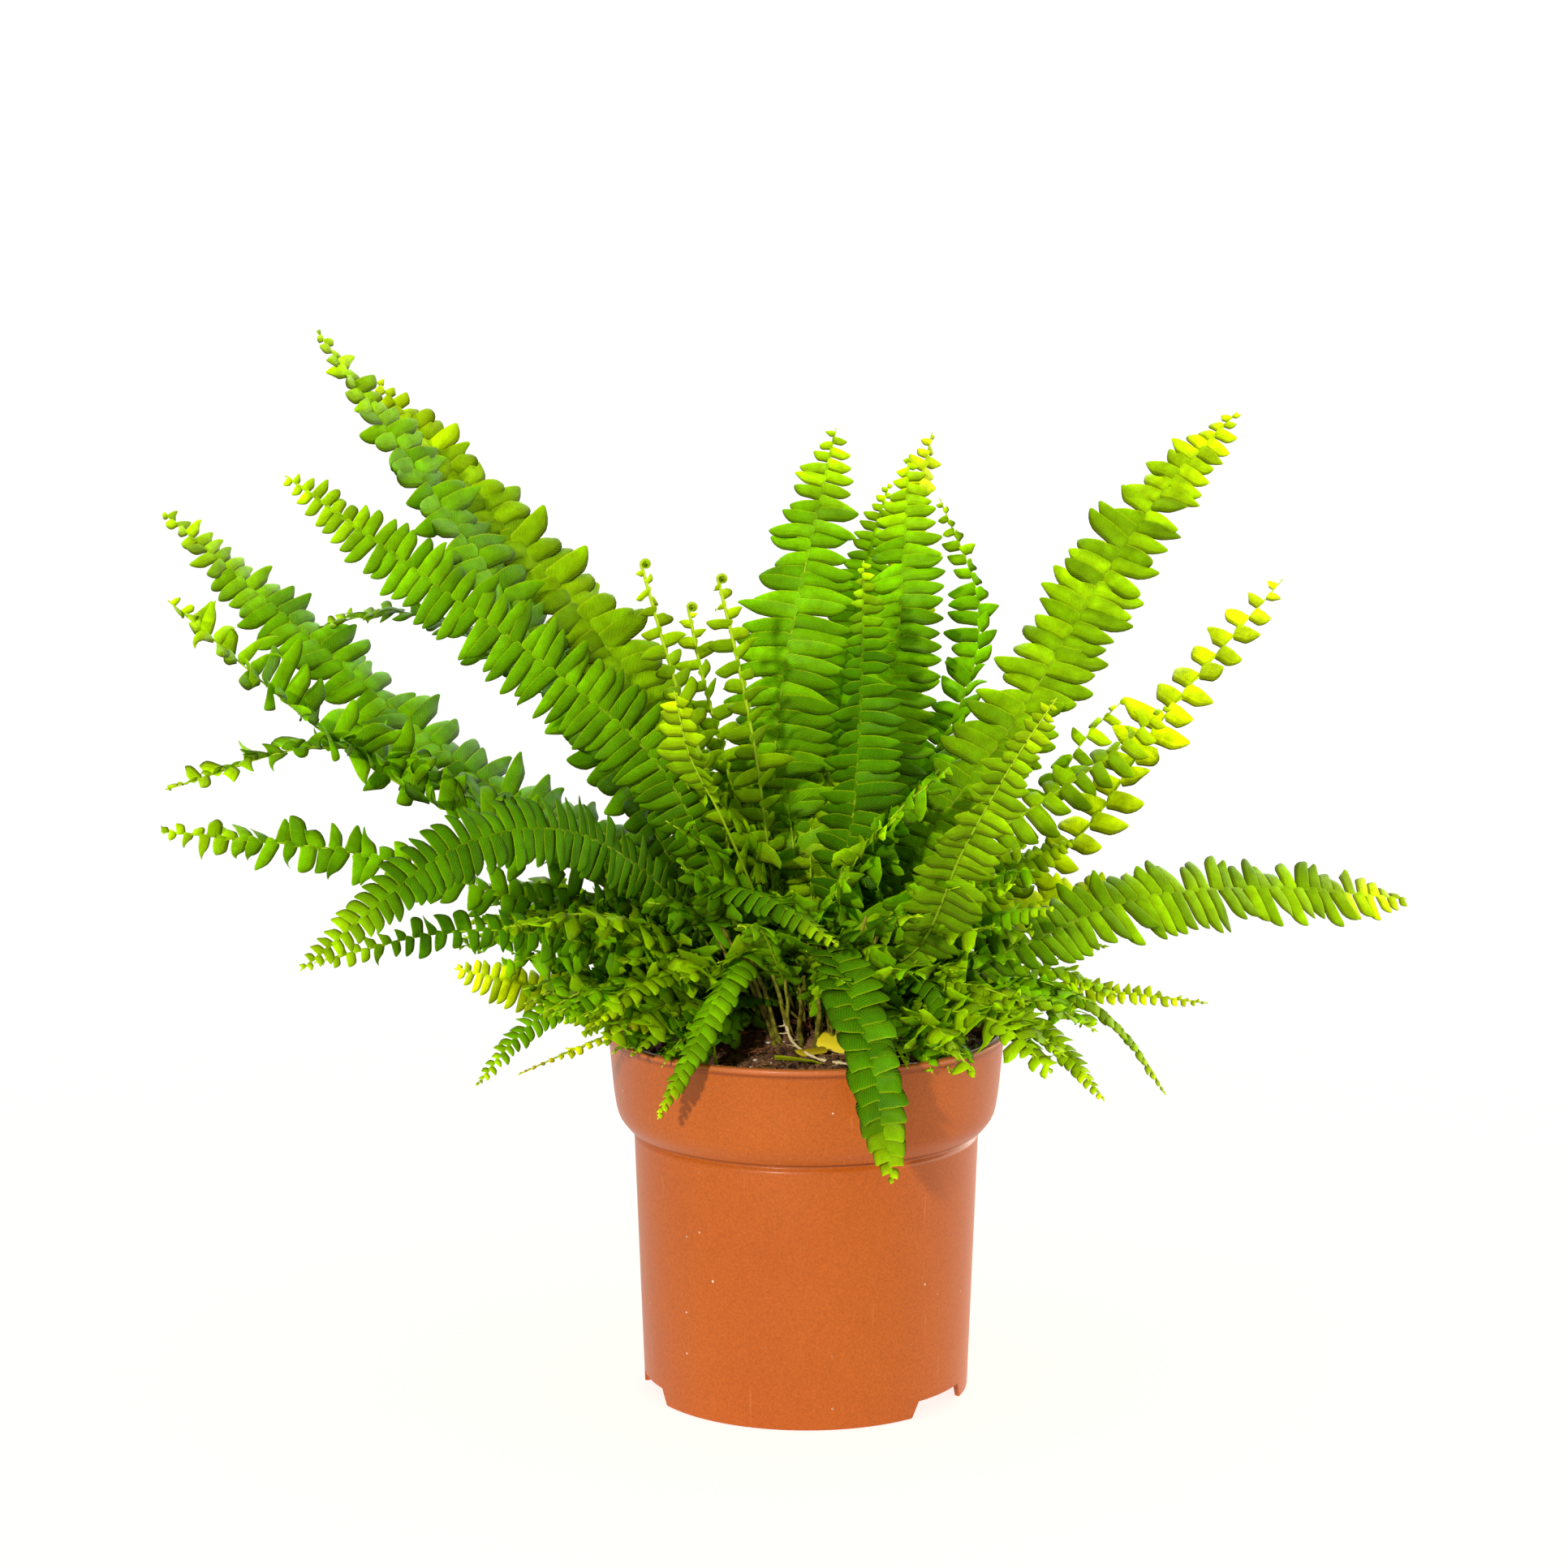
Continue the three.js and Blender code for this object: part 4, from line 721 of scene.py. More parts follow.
def leaf_marks(tree, u, v):
    """The pale marks of a leaflet by name, and how strong they are together."""
    from_middle = add(tree, "Math", {0: v, 1: 0.5}, **MINUS)
    across = add(tree, "Math", {0: from_middle}, **SIZE_ONLY)
    slant = add(tree, "Math", {0: across, 1: VEIN_SLANT / VEINS_ON_A_LEAFLET}, **TIMES)
    run = add(tree, "Math", {0: u, 1: slant}, **MINUS)
    turns = add(tree, "Math", {0: run, 1: VEINS_ON_A_LEAFLET * 2 * math.pi}, **TIMES)
    wave = add(tree, "Math", {0: turns}, operation="SINE")
    drawn_over = {"midrib": across, "margin": v, "vein": wave, "foot": u}
    marks, together = {}, None
    for key, (start, full, strength) in MARKS.items():
        band = {"Value": drawn_over[key], "From Min": start, "From Max": full}
        marks[key] = add(tree, "MapRange", band, **SMOOTH)
        strong = add(tree, "Math", {0: marks[key], 1: strength}, **TIMES)
        if together is None:
            together = strong
        else:
            together = add(tree, "Math", {0: together, 1: strong}, **LARGER)
    return marks, together


def leaf_brightness(tree, v, shade, spots):
    """How light each place is: by the leaflet's own shade, in blotches, and from margin to margin by painted
    light and shade.
    """
    own = add(tree, "MapRange", {
        "Value": shade, "From Min": -2.0, "From Max": 2.0, "To Min": 0.68, "To Max": 1.32})
    blotches = add(tree, "MapRange", {
        "Value": spots, "From Min": 0.3, "From Max": 0.7, "To Min": 0.76, "To Max": 1.24})
    # Painted shade of the next leaflet along the footward margin, and a painted shadow line at its very edge.
    painted_shade_of_next = add(tree, "MapRange", {
        "Value": v, "From Min": 0.20, "From Max": 0.34, "To Min": 0.58, "To Max": 1.0}, **SMOOTH)
    painted_shadow_line = add(tree, "MapRange", {
        "Value": v, "From Min": 0.0, "From Max": 0.14, "To Min": 0.08, "To Max": 1.0}, **SMOOTH)
    lit_half = add(tree, "MapRange", {"Value": v, "From Min": 0.3, "To Min": 1.04, "To Max": 1.52})
    value = own
    for factor in (blotches, painted_shade_of_next, painted_shadow_line, lit_half):
        value = add(tree, "Math", {0: value, 1: factor}, **TIMES)
    return value


def leaf_material(name, deep, fresh, young):
    """deep is the colour near the crown, fresh that of most of the blade, and young that of its tip."""
    material, tree = new_material(name)
    age = add(tree, "Attribute", attribute_name="age").outputs["Fac"]
    shade = add(tree, "Attribute", attribute_name="shade").outputs["Fac"]
    under = add(tree, "Attribute", attribute_name="under").outputs["Fac"]
    place = add(tree, "SeparateXYZ", {"Vector": add(tree, "UVMap", uv_map="UVMap")})
    u, v = place.outputs["X"], place.outputs["Y"]
    spots = add(tree, "TexNoise", {
        "Vector": add(tree, "TexCoord").outputs["Object"], "Scale": 170.0, "Detail": 6.0, "Roughness": 0.7})
    ageing = add(tree, "MapRange", {"Value": age, "From Min": 0.1, "From Max": 0.62}, **SMOOTH)
    tipping = add(tree, "MapRange", {"Value": age, "From Min": 0.78, "From Max": 1.0}, **SMOOTH)
    body = add(tree, "Mix", {"Factor": ageing, "A": linear(deep), "B": linear(fresh)}, **COLOUR)
    body = add(tree, "Mix", {"Factor": tipping, "A": body, "B": linear(young)}, **COLOUR)
    value = leaf_brightness(tree, v, shade, spots)
    warmer = add(tree, "MapRange", {
        "Value": shade, "From Min": -1.0, "From Max": 1.0, "To Min": 0.506, "To Max": 0.494})
    body = add(tree, "HueSaturation", {"Hue": warmer, "Value": value, "Color": body})
    marks, together = leaf_marks(tree, u, v)
    pale = add(tree, "Mix", {"Factor": 0.55, "A": body, "B": linear(PALE_GREEN)}, **COLOUR)
    top = add(tree, "Mix", {"Factor": together, "A": body, "B": pale}, **COLOUR)
    dull = add(tree, "Mix", {"Factor": 0.12, "A": top, "B": linear(UNDERSIDE_GREEN)}, **COLOUR)
    colour = add(tree, "Mix", {"Factor": under, "A": top, "B": dull}, **COLOUR)
    relief = add(tree, "Math", {0: marks["vein"], 1: marks["midrib"]}, **PLUS)
    bump = add(tree, "Bump", {"Height": relief, "Strength": 0.8, "Distance": LEAF_RELIEF}, invert=True)
    rough = add(tree, "MapRange", {"Value": under, "To Min": 0.40, "To Max": 0.58})
    skin = add(tree, "BsdfPrincipled", {
        "Base Color": colour, "Roughness": rough, "IOR": 1.42, "Normal": bump, "Specular IOR Level": 0.07})
    glow = add(tree, "HueSaturation", {"Hue": 0.478, "Saturation": 1.06, "Value": 1.6, "Color": top})
    flesh = add(tree, "BsdfTranslucent", {"Color": glow, "Normal": bump})
    surface = add(tree, "MixShader", {0: FLESH_SHARE, 1: skin, 2: flesh})
    add(tree, "OutputMaterial", {"Surface": surface})
    return material


LEAF = {
    "dark": leaf_material("leaf_old_waxy_dark_green", "2f6a04", "478402", "9cc008"),
    "mid": leaf_material("leaf_grown_waxy_green", "448202", "6aa202", "a2c406"),
    "bright": leaf_material("leaf_fresh_waxy_bright_green", "568c02", "7ea602", "aec808"),
    "lime": leaf_material("leaf_young_lime_green", "84a204", "a4bc08", "bed020"),
    "dying": leaf_material("leaf_dying_yellow_green", "8cb00a", "b8c812", "ccb42c"),
}
print("leaf materials:", [m.name for m in LEAF.values()])

# %% [markdown]
# The rib and stalk are a smooth green-yellow stem, brown where they leave the crown. A ramp over the age
# along the frond gives that change, and noise breaks up its edge.

# %%
# Make the stem material
STEM_STOPS = [(0.02, "4a3319"), (0.09, "605814"), (0.2, "647c0c"), (0.6, "8aac0c"), (1.0, "b0cc20")]
STEM_RELIEF = 0.15 * MM


def stem_material():
    material, tree = new_material("stem_smooth_green_to_brown")
    age = add(tree, "Attribute", attribute_name="age").outputs["Fac"]
    spots = add(tree, "TexNoise", {
        "Vector": add(tree, "TexCoord").outputs["Object"], "Scale": 420.0, "Detail": 4.0})
    spread = add(tree, "MapRange", {"Value": spots, "To Min": -0.05, "To Max": 0.05})
    run = add(tree, "Math", {0: age, 1: spread}, **PLUS)
    ramp = add(tree, "ValToRGB", {0: run})
    while len(ramp.color_ramp.elements) < len(STEM_STOPS):
        ramp.color_ramp.elements.new(0.5)
    for element, (at, colour) in zip(ramp.color_ramp.elements, STEM_STOPS):
        element.position, element.color = at, linear(colour)
    bump = add(tree, "Bump", {"Height": spots, "Strength": 0.4, "Distance": STEM_RELIEF})
    skin = add(tree, "BsdfPrincipled", {
        "Base Color": ramp, "Roughness": 0.5, "Specular IOR Level": 0.15, "Normal": bump})
    add(tree, "OutputMaterial", {"Surface": skin})
    return material


STEM = stem_material()
print("stem material:", STEM.name)

# %% [markdown]
# Now each frond is put together: the pointed foot goes into the crown, the rib thins towards the tip, and
# the leaflets stand along it. The three croziers are young fronds whose tips are still coiled: their rib
# ends in a flat spiral, and folded small leaflets lie over it and make a ball of it.

# %%
# Build the fronds
COIL_RADIUS = 1.3 * MM
COIL_TURNS = 1.8
COIL_STEPS = 34
# How much narrower the spiral is at its end, and how far it drifts to the side.
COIL_SHRINK = 0.72
COIL_DRIFT = 0.5 * MM
COIL_RADII = (0.62, 0.4)
COIL_AGES = (0.9, 0.3)
COIL_LEAFLET = (1.9 * MM, 1.3 * MM)
COIL_LEAFLET_BEND = {"sag": 0, "droop": 0.3, "twist": 0, "turn": 0, "cup": 1}
COIL_LEAFLET_SEAT = 0.25 * MM
COIL_LEAFLET_SPREAD = 0.9
COIL_INNER_STEPS = 8
CROZIER_HABIT = {
    "long": 1.4, "broad": 0.55, "gap": 6.5, "taper": 5, "roll": -72, "raise": 0, "lean": 0.45, "loose": 3}
RIB_STEP = 2.5 * MM
RIB_SIDES = 6
# A rib's radius at its foot, which grows with the leaflets, at its tip, and at least on a crozier.
RIB_RADIUS = 0.32
RIB_RADIUS_BY_LEAFLET = 0.014
RIB_TIP_RADIUS = 0.22 * MM
RIB_THINNING = 1.2
CROZIER_RADIUS = 0.5 * MM
# The bare stalk is a little shorter than the solid's.
BARE_SHARE_OF_SOLID = 0.8
LEAF_SMOOTH_ANGLE = 70


def coil(rib):
    """The curled tip of a young frond: a flat spiral that turns in over the frond's upper face."""
    place, along, up, left = (v[0] for v in frames_on(rib, [1.0], 0))
    centre = place + up * COIL_RADIUS
    turns = np.linspace(0, COIL_TURNS * 2 * math.pi, COIL_STEPS)[1:, None]
    radius = COIL_RADIUS * (1 - COIL_SHRINK * turns / turns[-1])
    drift = left * COIL_DRIFT * np.sin(turns / 2)
    return centre + radius * (np.sin(turns) * along - np.cos(turns) * up) + drift


def wrap_coil(quads, spiral, rib):
    """The folded young leaflets that lie over both sides of a coil and make a ball of it."""
    centre = spiral[-1]
    ahead = unit(np.gradient(spiral, axis=0))
    for k in range(1, len(spiral) - COIL_INNER_STEPS, 2):
        for hand in (1, -1):
            across = hand * rib["side"]
            start = spiral[k] + across * COIL_LEAFLET_SEAT
            out = unit(unit(centre - spiral[k]) + COIL_LEAFLET_SPREAD * across)
            copy_leaflet(
                quads, SMALL, start, out, ahead[k], *COIL_LEAFLET, COIL_LEAFLET_BEND, hand, COIL_AGES[0], 0)


def lay_rib(quads, rib, leaf, coiled=False):
    """A frond's stalk and rib, from its pointed foot in the crown to its tip or the end of its coil."""
    shares = np.linspace(0, 1, max(12, int(rib["lengths"][-1] / RIB_STEP)))
    line = np.vstack([rib["foot"] - rib["start"] * ROOT_DEPTH, frames_on(rib, shares, 0)[0]])
    thick = (RIB_RADIUS + RIB_RADIUS_BY_LEAFLET * leaf) * MM
    radii = np.concatenate([[0.5 * thick], thick + (RIB_TIP_RADIUS - thick) * shares**RIB_THINNING])
    age = np.concatenate([[0], shares])
    if coiled:
        spiral = coil(rib)
        line = np.vstack([line, spiral])
        radii = np.maximum(radii, CROZIER_RADIUS)
        radii = np.concatenate([radii, np.linspace(*COIL_RADII, len(spiral)) * MM])
        age = np.concatenate([age, np.linspace(*COIL_AGES, len(spiral))])
    put_tube(quads, line, radii, RIB_SIDES, 1, age, 0, rib["side"])
    if coiled:
        wrap_coil(quads, spiral, rib)


def build_frond(row):
    """Builds one row's frond; gives its object and how many leaflets it has."""
    name, _, leaf, bare, green, shape, _ = row
    rng = random.Random(name)
    rib = RIBS[name]
    quads = Quads()
    coiled = name.startswith("crozier")
    lay_rib(quads, rib, leaf, coiled)
    habit = {**USUAL, **(CROZIER_HABIT if coiled else shape)}
    leaf = leaf * habit["long"]
    count = lay_leaflets(quads, rib, leaf, habit.get("bare", BARE_SHARE_OF_SOLID * bare), habit, rng)
    frond = quads.build(name + "_leafy", [LEAF[habit.get("finish", green)], STEM])
    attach(frond, "root")
    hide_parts(name)
    return frond, count


fronds, leaflets = [], 0
for row in FRONDS:
    frond, count = build_frond(row)
    fronds.append(frond)
    leaflets += count
deselect_all()
for frond in fronds:
    frond.select_set(True)
bpy.context.view_layer.objects.active = fronds[0]
bpy.ops.object.shade_smooth_by_angle(angle=math.radians(LEAF_SMOOTH_ANGLE))
print("fronds:", len(fronds), "leaflets:", leaflets, "faces:", sum(len(f.data.polygons) for f in fronds))

# %% [markdown]
# ## Short fronds in the crown
# Between the long fronds stand about 155 short ones, so close that the crown is a thicket. The CAD model
# has the fronds that can be told apart; these are too many to be nodes of it, and all but a few tips lie
# inside its outline. Their places come from a rule and seeded random numbers: ten tiers, four all round,
# from low ones that reach the pot's rim to steep ones in the middle, and six that fill the sides and the
# front. A narrow window in front is left open, and low fronds leave a wider one, where the soil shows.

# %%
# Build the short fronds

# Each tier: how many, between which bearings, rise in degrees, length, longest leaflets, root ring.
TIERS = [
    (22, (0, 360), 16, 42, 8.5, 3.9),
    (30, (0, 360), 38, 48, 9.5, 3.3),
    (30, (0, 360), 56, 58, 10.5, 2.6),
    (16, (0, 360), 72, 72, 12.0, 1.6),
    (16, (165, 230), 15, 62, 8.5, 4.0),
    (13, (300, 380), 12, 64, 8.5, 4.0),
    (13, (158, 216), 31, 84, 9.5, 3.4),
    (9, (204, 238), 2, 37, 4.4, 4.3),
    (7, (294, 335), 2, 38, 5.0, 4.3),
    (7, (247, 275), 74, 48, 6.5, 3.2),
]
# Fronds that rise less than LOW leave the open front, and those that rise less than TALL the window.
OPEN_FRONT = (248, 292)
LOW = 30
WINDOW = (250, 270)
TALL = 70
# Fronds that rise more than STEEP are shorter in front of the plant's middle.
FRONT = (235, 305)
STEEP = 50
FRONT_LENGTH = 0.6
# From the first of these bearings on and up to the second, light comes through the thicket.
RIGHT_SIDE = (300, 50)
# The rib's three parts: each one's share of the length, and how far it turns from the rise, in degrees.
ARCH = [(0.35, 12), (0.35, -10), (0.30, -34)]
SHORT_HABIT = {"loose": 4.5, "young": 0.34, "tip_age": 0.86, "taper": 5, "blunt": 0.65, "shades": 2}
# How much lighter short fronds are drawn; the larger one, on the right, is painted light through the thicket.
SHORT_FAIR = 1.0
SHORT_FAIR_PAINTED_LIGHT_RIGHT = 1.6
SHORT_ROLL = 35
SHORT_RAISE = (-20, 10)
SHORT_GAP = 2.1
SHORT_GAP_BY_LENGTH = 0.21
# The share of a short rib that is bare; the front's upright ones, which rise more than BARE_ABOVE, bear
# leaflets higher up.
SHORT_BARE = 0.1
BARE_ABOVE = 73
HIGH_BARE = 0.3


def on_the_right(bearing):
    return bearing > RIGHT_SIDE[0] or bearing < RIGHT_SIDE[1]


def left_open(bearing, rise):
    in_window = rise < TALL and WINDOW[0] < bearing < WINDOW[1]
    return in_window or rise < LOW and OPEN_FRONT[0] < bearing < OPEN_FRONT[1]


def short_frond(tier, bearing, rng):
    """The rib of a short frond at a bearing, and the length of its longest leaflets in millimetres."""
    _, _, rise, length, leaf, ring = tier
    length *= rng.uniform(0.8, 1.2)
    if rise > STEEP and FRONT[0] < bearing < FRONT[1]:
        length *= FRONT_LENGTH
    rise += rng.uniform(-8, 8)
    foot = root_place(ring + rng.uniform(-0.5, 0.5), bearing)
    level = np.array([math.cos(math.radians(bearing)), math.sin(math.radians(bearing)), 0])
    places, here = [], foot / MM
    for part, bend in ARCH:
        angle = math.radians(rise + bend)
        here = here + length * part * (level * math.cos(angle) + UP * math.sin(angle))
        places.append(here + [rng.uniform(-2, 2), rng.uniform(-2, 2), 0])
    return rib_of((ring, bearing), places), leaf * rng.uniform(0.85, 1.15)


def green_of(bearing, rise, rng):
    """The thicket is darker inside as painted shade, and bright on the right as painted light through it."""
    if on_the_right(bearing):
        return rng.choice(["bright", "mid", "bright"])
    return rng.choice(["mid", "bright"]) if rise < STEEP else rng.choice(["dark", "mid", "bright", "bright"])


def plant_tier(thicket, tier, rng):
    """The short fronds of one tier; gives how many there are, and how many leaflets they have."""
    count, (first, last), rise = tier[:3]
    short_fronds = leaflets = 0
    for k in range(count):
        bearing = (first + (k + rng.uniform(0.1, 0.9)) * (last - first) / count) % 360
        if left_open(bearing, rise):
            continue
        rib, leaf = short_frond(tier, bearing, rng)
        quads = thicket[green_of(bearing, rise, rng)]
        lay_rib(quads, rib, leaf)
        habit = {
            **SHORT_HABIT,
            "roll": rng.uniform(-SHORT_ROLL, SHORT_ROLL),
            "raise": rng.uniform(*SHORT_RAISE),
            "fair": SHORT_FAIR_PAINTED_LIGHT_RIGHT if on_the_right(bearing) else SHORT_FAIR,
            "gap": SHORT_GAP + SHORT_GAP_BY_LENGTH * leaf,
        }
        bare = HIGH_BARE if rise > BARE_ABOVE else SHORT_BARE
        leaflets += lay_leaflets(quads, rib, leaf, bare, habit, rng, SMALL)
        short_fronds += 1
    return short_fronds, leaflets


thicket = {green: Quads() for green in ("dark", "mid", "bright")}
rng = random.Random("thicket")
planted = [plant_tier(thicket, tier, rng) for tier in TIERS]
for green, quads in thicket.items():
    piece = quads.build("short_fronds_" + green, [LEAF[green], STEM])
    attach(piece, "root")
    piece.select_set(True)
    bpy.context.view_layer.objects.active = piece
    bpy.ops.object.shade_smooth_by_angle(angle=math.radians(LEAF_SMOOTH_ANGLE))
print("short fronds:", sum(row[0] for row in planted), "leaflets:", sum(row[1] for row in planted))

# %% [markdown]
# ## The pot
# This is a nursery pot of polypropylene, injection moulded in one piece: a wall of about 1.6 mm, a wide
# collar that makes it stiff and lets pots stack, a thin lip, and a raised floor with drain holes. Such a
# round shape could be a lathe curve with a screw modifier. Here a circle is extruded ring by ring, which
# lets each corner have its own rounding, as the mould's corners do.

# %%
# Turn a shape from its outline
POT_STEPS = 120
ARC_STEPS = 3
# An arc takes at most this share of the edges at its corner.
ARC_REACH = 0.45


def rounded(outline):
    """An outline of (radius, height, rounding) with each corner replaced by a small arc."""
    points = []
    for k, (r, z, round_by) in enumerate(outline):
        here = np.array([r, z], float)
        if round_by == 0 or k in (0, len(outline) - 1):
            points.append(here)
            continue
        before, after = (np.array(outline[j][:2], float) - here for j in (k - 1, k + 1))
        a, b = (here + v * min(round_by / np.linalg.norm(v), ARC_REACH) for v in (before, after))
        for t in np.linspace(0, 1, ARC_STEPS + 1):
            points.append((1 - t) ** 2 * a + 2 * t * (1 - t) * here + t**2 * b)
    return np.array(points)


def turn(name, outline, steps):
    """A closed solid turned round the Z axis from an outline in millimetres."""
    deselect_all()
    points = rounded(outline)
    (r, z), rest = points[0], points[1:]
    bpy.ops.mesh.primitive_circle_add(vertices=steps, radius=r * MM)
    piece = bpy.context.object
    piece.name = name
    bpy.ops.object.mode_set(mode="EDIT")
    bpy.ops.mesh.select_all(action="SELECT")
    bpy.ops.transform.translate(value=(0, 0, z * MM))
    for next_r, next_z in rest:
        bpy.ops.mesh.extrude_edges_move(TRANSFORM_OT_translate={"value": (0, 0, (next_z - z) * MM)})
        bpy.ops.transform.resize(value=(next_r / r, next_r / r, 1), center_override=(0, 0, 0))
        r, z = next_r, next_z
    bpy.ops.mesh.select_all(action="SELECT")
    bpy.ops.mesh.fill_holes(sides=0)
    bpy.ops.mesh.normals_make_consistent(inside=False)
    bpy.ops.object.mode_set(mode="OBJECT")
    return piece


# Radius, height and rounding of each corner of the pot, from under its floor, round the lip, to its inside.
POT_OUTLINE = [
    (1, 6, 0), (47.1, 6, 0.8), (47.1, 0, 0.4), (48.7, 0, 0.5), (51.5, 77.2, 0.5), (50.7, 78.3, 0.2),
    (50.7, 79.2, 0.1), (53.0, 79.7, 0.5), (56.3, 83.6, 2.6), (57.5, 90.5, 3.5), (59, 106.7, 0.2),
    (60, 107.1, 0.3), (60, 108.6, 0.5), (59.4, 109, 0.4), (57.5, 109, 0.5), (56, 91, 3), (51, 81, 3),
    (49.9, 74, 2), (47.4, 8, 2), (1, 8, 0),
]
pot = turn("pot_moulded", POT_OUTLINE, POT_STEPS)
print("pot:", len(pot.data.polygons), "faces")

# %% [markdown]
# The foot ring has three notches, so that water gets out on a flat bench, and the floor has six holes and six
# stiffening ribs. They are cut and joined with Boolean modifiers, each of which is applied.

# %%
# Cut the notches and holes, and add the ribs

# Sizes are in millimetres: across, outwards and up. A place is a radius and a height.
NOTCH_BEARINGS = (-35, 81, 197)
NOTCH_SIZE = (27, 20, 5.8)
NOTCH_TOP = 21
NOTCH_PLACE = (46.7, 1.9)
FLOOR_RIB_SIZE = (1.4, 38.6, 4.4)
FLOOR_RIB_PLACE = (27.5, 4.0)
HOLE_PLACE = (33, 7)
HOLE_RADIUS = 3.5
HOLE_DEPTH = 9
HOLE_SIDES = 24
HOLES = 6


def block(size, place, bearing, top_share=1.0):
    """A box whose top face is narrower, turned to a bearing round the pot's axis."""
    deselect_all()
    bpy.ops.mesh.primitive_cube_add(size=MM)
    made = bpy.context.object
    bpy.ops.object.mode_set(mode="EDIT")
    bpy.ops.transform.resize(value=size)
    bpy.ops.object.mode_set(mode="OBJECT")
    for vertex in made.data.vertices:
        if vertex.co.z > 0:
            vertex.co.x *= top_share
    made.rotation_euler.z = math.radians(bearing + 90)
    made.location = around(place, bearing)
    return made


def around(place, bearing):
    """A place given as radius and height in millimetres, at a bearing in degrees."""
    r, angle = place[0] * MM, math.radians(bearing)
    return (r * math.cos(angle), r * math.sin(angle), place[1] * MM)


def apply_boolean(piece, tool, operation):
    modifier = piece.modifiers.new("boolean", "BOOLEAN")
    modifier.operation, modifier.object, modifier.solver = operation, tool, "EXACT"
    bpy.context.view_layer.objects.active = piece
    bpy.ops.object.modifier_apply(modifier=modifier.name)
    bpy.data.objects.remove(tool)


for bearing in NOTCH_BEARINGS:
    notch = block(NOTCH_SIZE, NOTCH_PLACE, bearing, NOTCH_TOP / NOTCH_SIZE[0])
    apply_boolean(pot, notch, "DIFFERENCE")
for index in range(HOLES):
    apply_boolean(pot, block(FLOOR_RIB_SIZE, FLOOR_RIB_PLACE, index * 360 / HOLES), "UNION")
    deselect_all()
    bpy.ops.mesh.primitive_cylinder_add(
        vertices=HOLE_SIDES,
        radius=HOLE_RADIUS * MM,
        depth=HOLE_DEPTH * MM,
        location=around(HOLE_PLACE, (index + 0.5) * 360 / HOLES),
    )
    apply_boolean(pot, bpy.context.object, "DIFFERENCE")
print("pot with its cuts:", len(pot.data.polygons), "faces")

# %% [markdown]
# Polypropylene that is moulded against a finely blasted mould has a satin face: a broad soft sheen instead
# of a mirror. Its pigment is even, but handling leaves faint scratches, and peat leaves specks of dust. The
# material draws the mould's grain as a fine bump, well under a millimetre wide; the real one is finer, but a
# smaller one wouldn't show. A darker line in the groove under the collar and under the lip is painted shade,
# the lip's edge has a paler painted highlight, and a thin coat gives the faint second shine of handled
# plastic.

# %%
# Make the pot's material

# These bands draw a painted highlight on the lip's edge and painted shade under the lip and in the groove.
# Each band goes by the height in millimetres: where it starts, and where it is full.
HEIGHT_BANDS = {
    "lip": (107.3, 108.0),
    "painted_shade_below_lip": (105.8, 106.6),
    "over_groove_foot": (78.2, 78.7),
    "under_groove_top": (79.8, 79.4),
}
GRAINS_PER_METRE = 1500.0
SPECKS_PER_METRE = 260.0
SPECKLESS_SHARE = 0.93
SCRATCH_STRETCH = (700.0, 700.0, 40.0)
POT_RELIEF = 0.08 * MM


def tinted(tree, base, mask, strength, colour):
    """The base with a colour over it, which is as strong as strength where the mask is full."""
    factor = add(tree, "Math", {0: mask, 1: strength}, **TIMES)
    return add(tree, "Mix", {"Factor": factor, "A": base, "B": linear(colour)}, **COLOUR)


def dusted(tree, base, place):
    """The base with a pale or dark speck in one of about fourteen cells."""
    cells = add(tree, "TexVoronoi", {"Vector": place, "Scale": SPECKS_PER_METRE})
    chance = add(tree, "SeparateColor", {"Color": cells.outputs["Color"]})
    rare = add(tree, "Math", {0: chance.outputs["Red"], 1: SPECKLESS_SHARE}, operation="GREATER_THAN")
    near = add(tree, "MapRange", {
        "Value": cells.outputs["Distance"], "From Min": 0.12, "From Max": 0.06}, **SMOOTH)
    dust = add(tree, "Math", {0: rare, 1: near}, **TIMES)
    pale_or_dark = add(tree, "Mix", {
        "Factor": chance.outputs["Green"], "A": linear("5a2c12"), "B": linear("e8cdb4")}, **COLOUR)
    return add(tree, "Mix", {"Factor": dust, "A": base, "B": pale_or_dark}, **COLOUR)


def painted_light_by_height(tree, base, height):
    """The base with a painted highlight on the lip's edge, and painted shade under the lip and in the groove
    under the collar.
    """
    bands = {}
    for key, (start, full) in HEIGHT_BANDS.items():
        limits = {"Value": height, "From Min": start * MM, "From Max": full * MM}
        bands[key] = add(tree, "MapRange", limits, **SMOOTH)
    # The band under the lip and the one in the groove under the collar are painted shade.
    painted_shade_under_lip = add(tree, "Math", {0: bands["painted_shade_below_lip"], 1: bands["lip"]}, **MINUS)
    groove = add(tree, "Math", {0: bands["over_groove_foot"], 1: bands["under_groove_top"]}, **TIMES)
    dark = add(tree, "Math", {0: painted_shade_under_lip, 1: groove}, **LARGER)
    # The lip's edge gets a paler painted highlight, and the dark bands are painted shade.
    base = tinted(tree, base, bands["lip"], 0.12, "e2a07a")
    return tinted(tree, base, dark, 0.36, "5a2410")


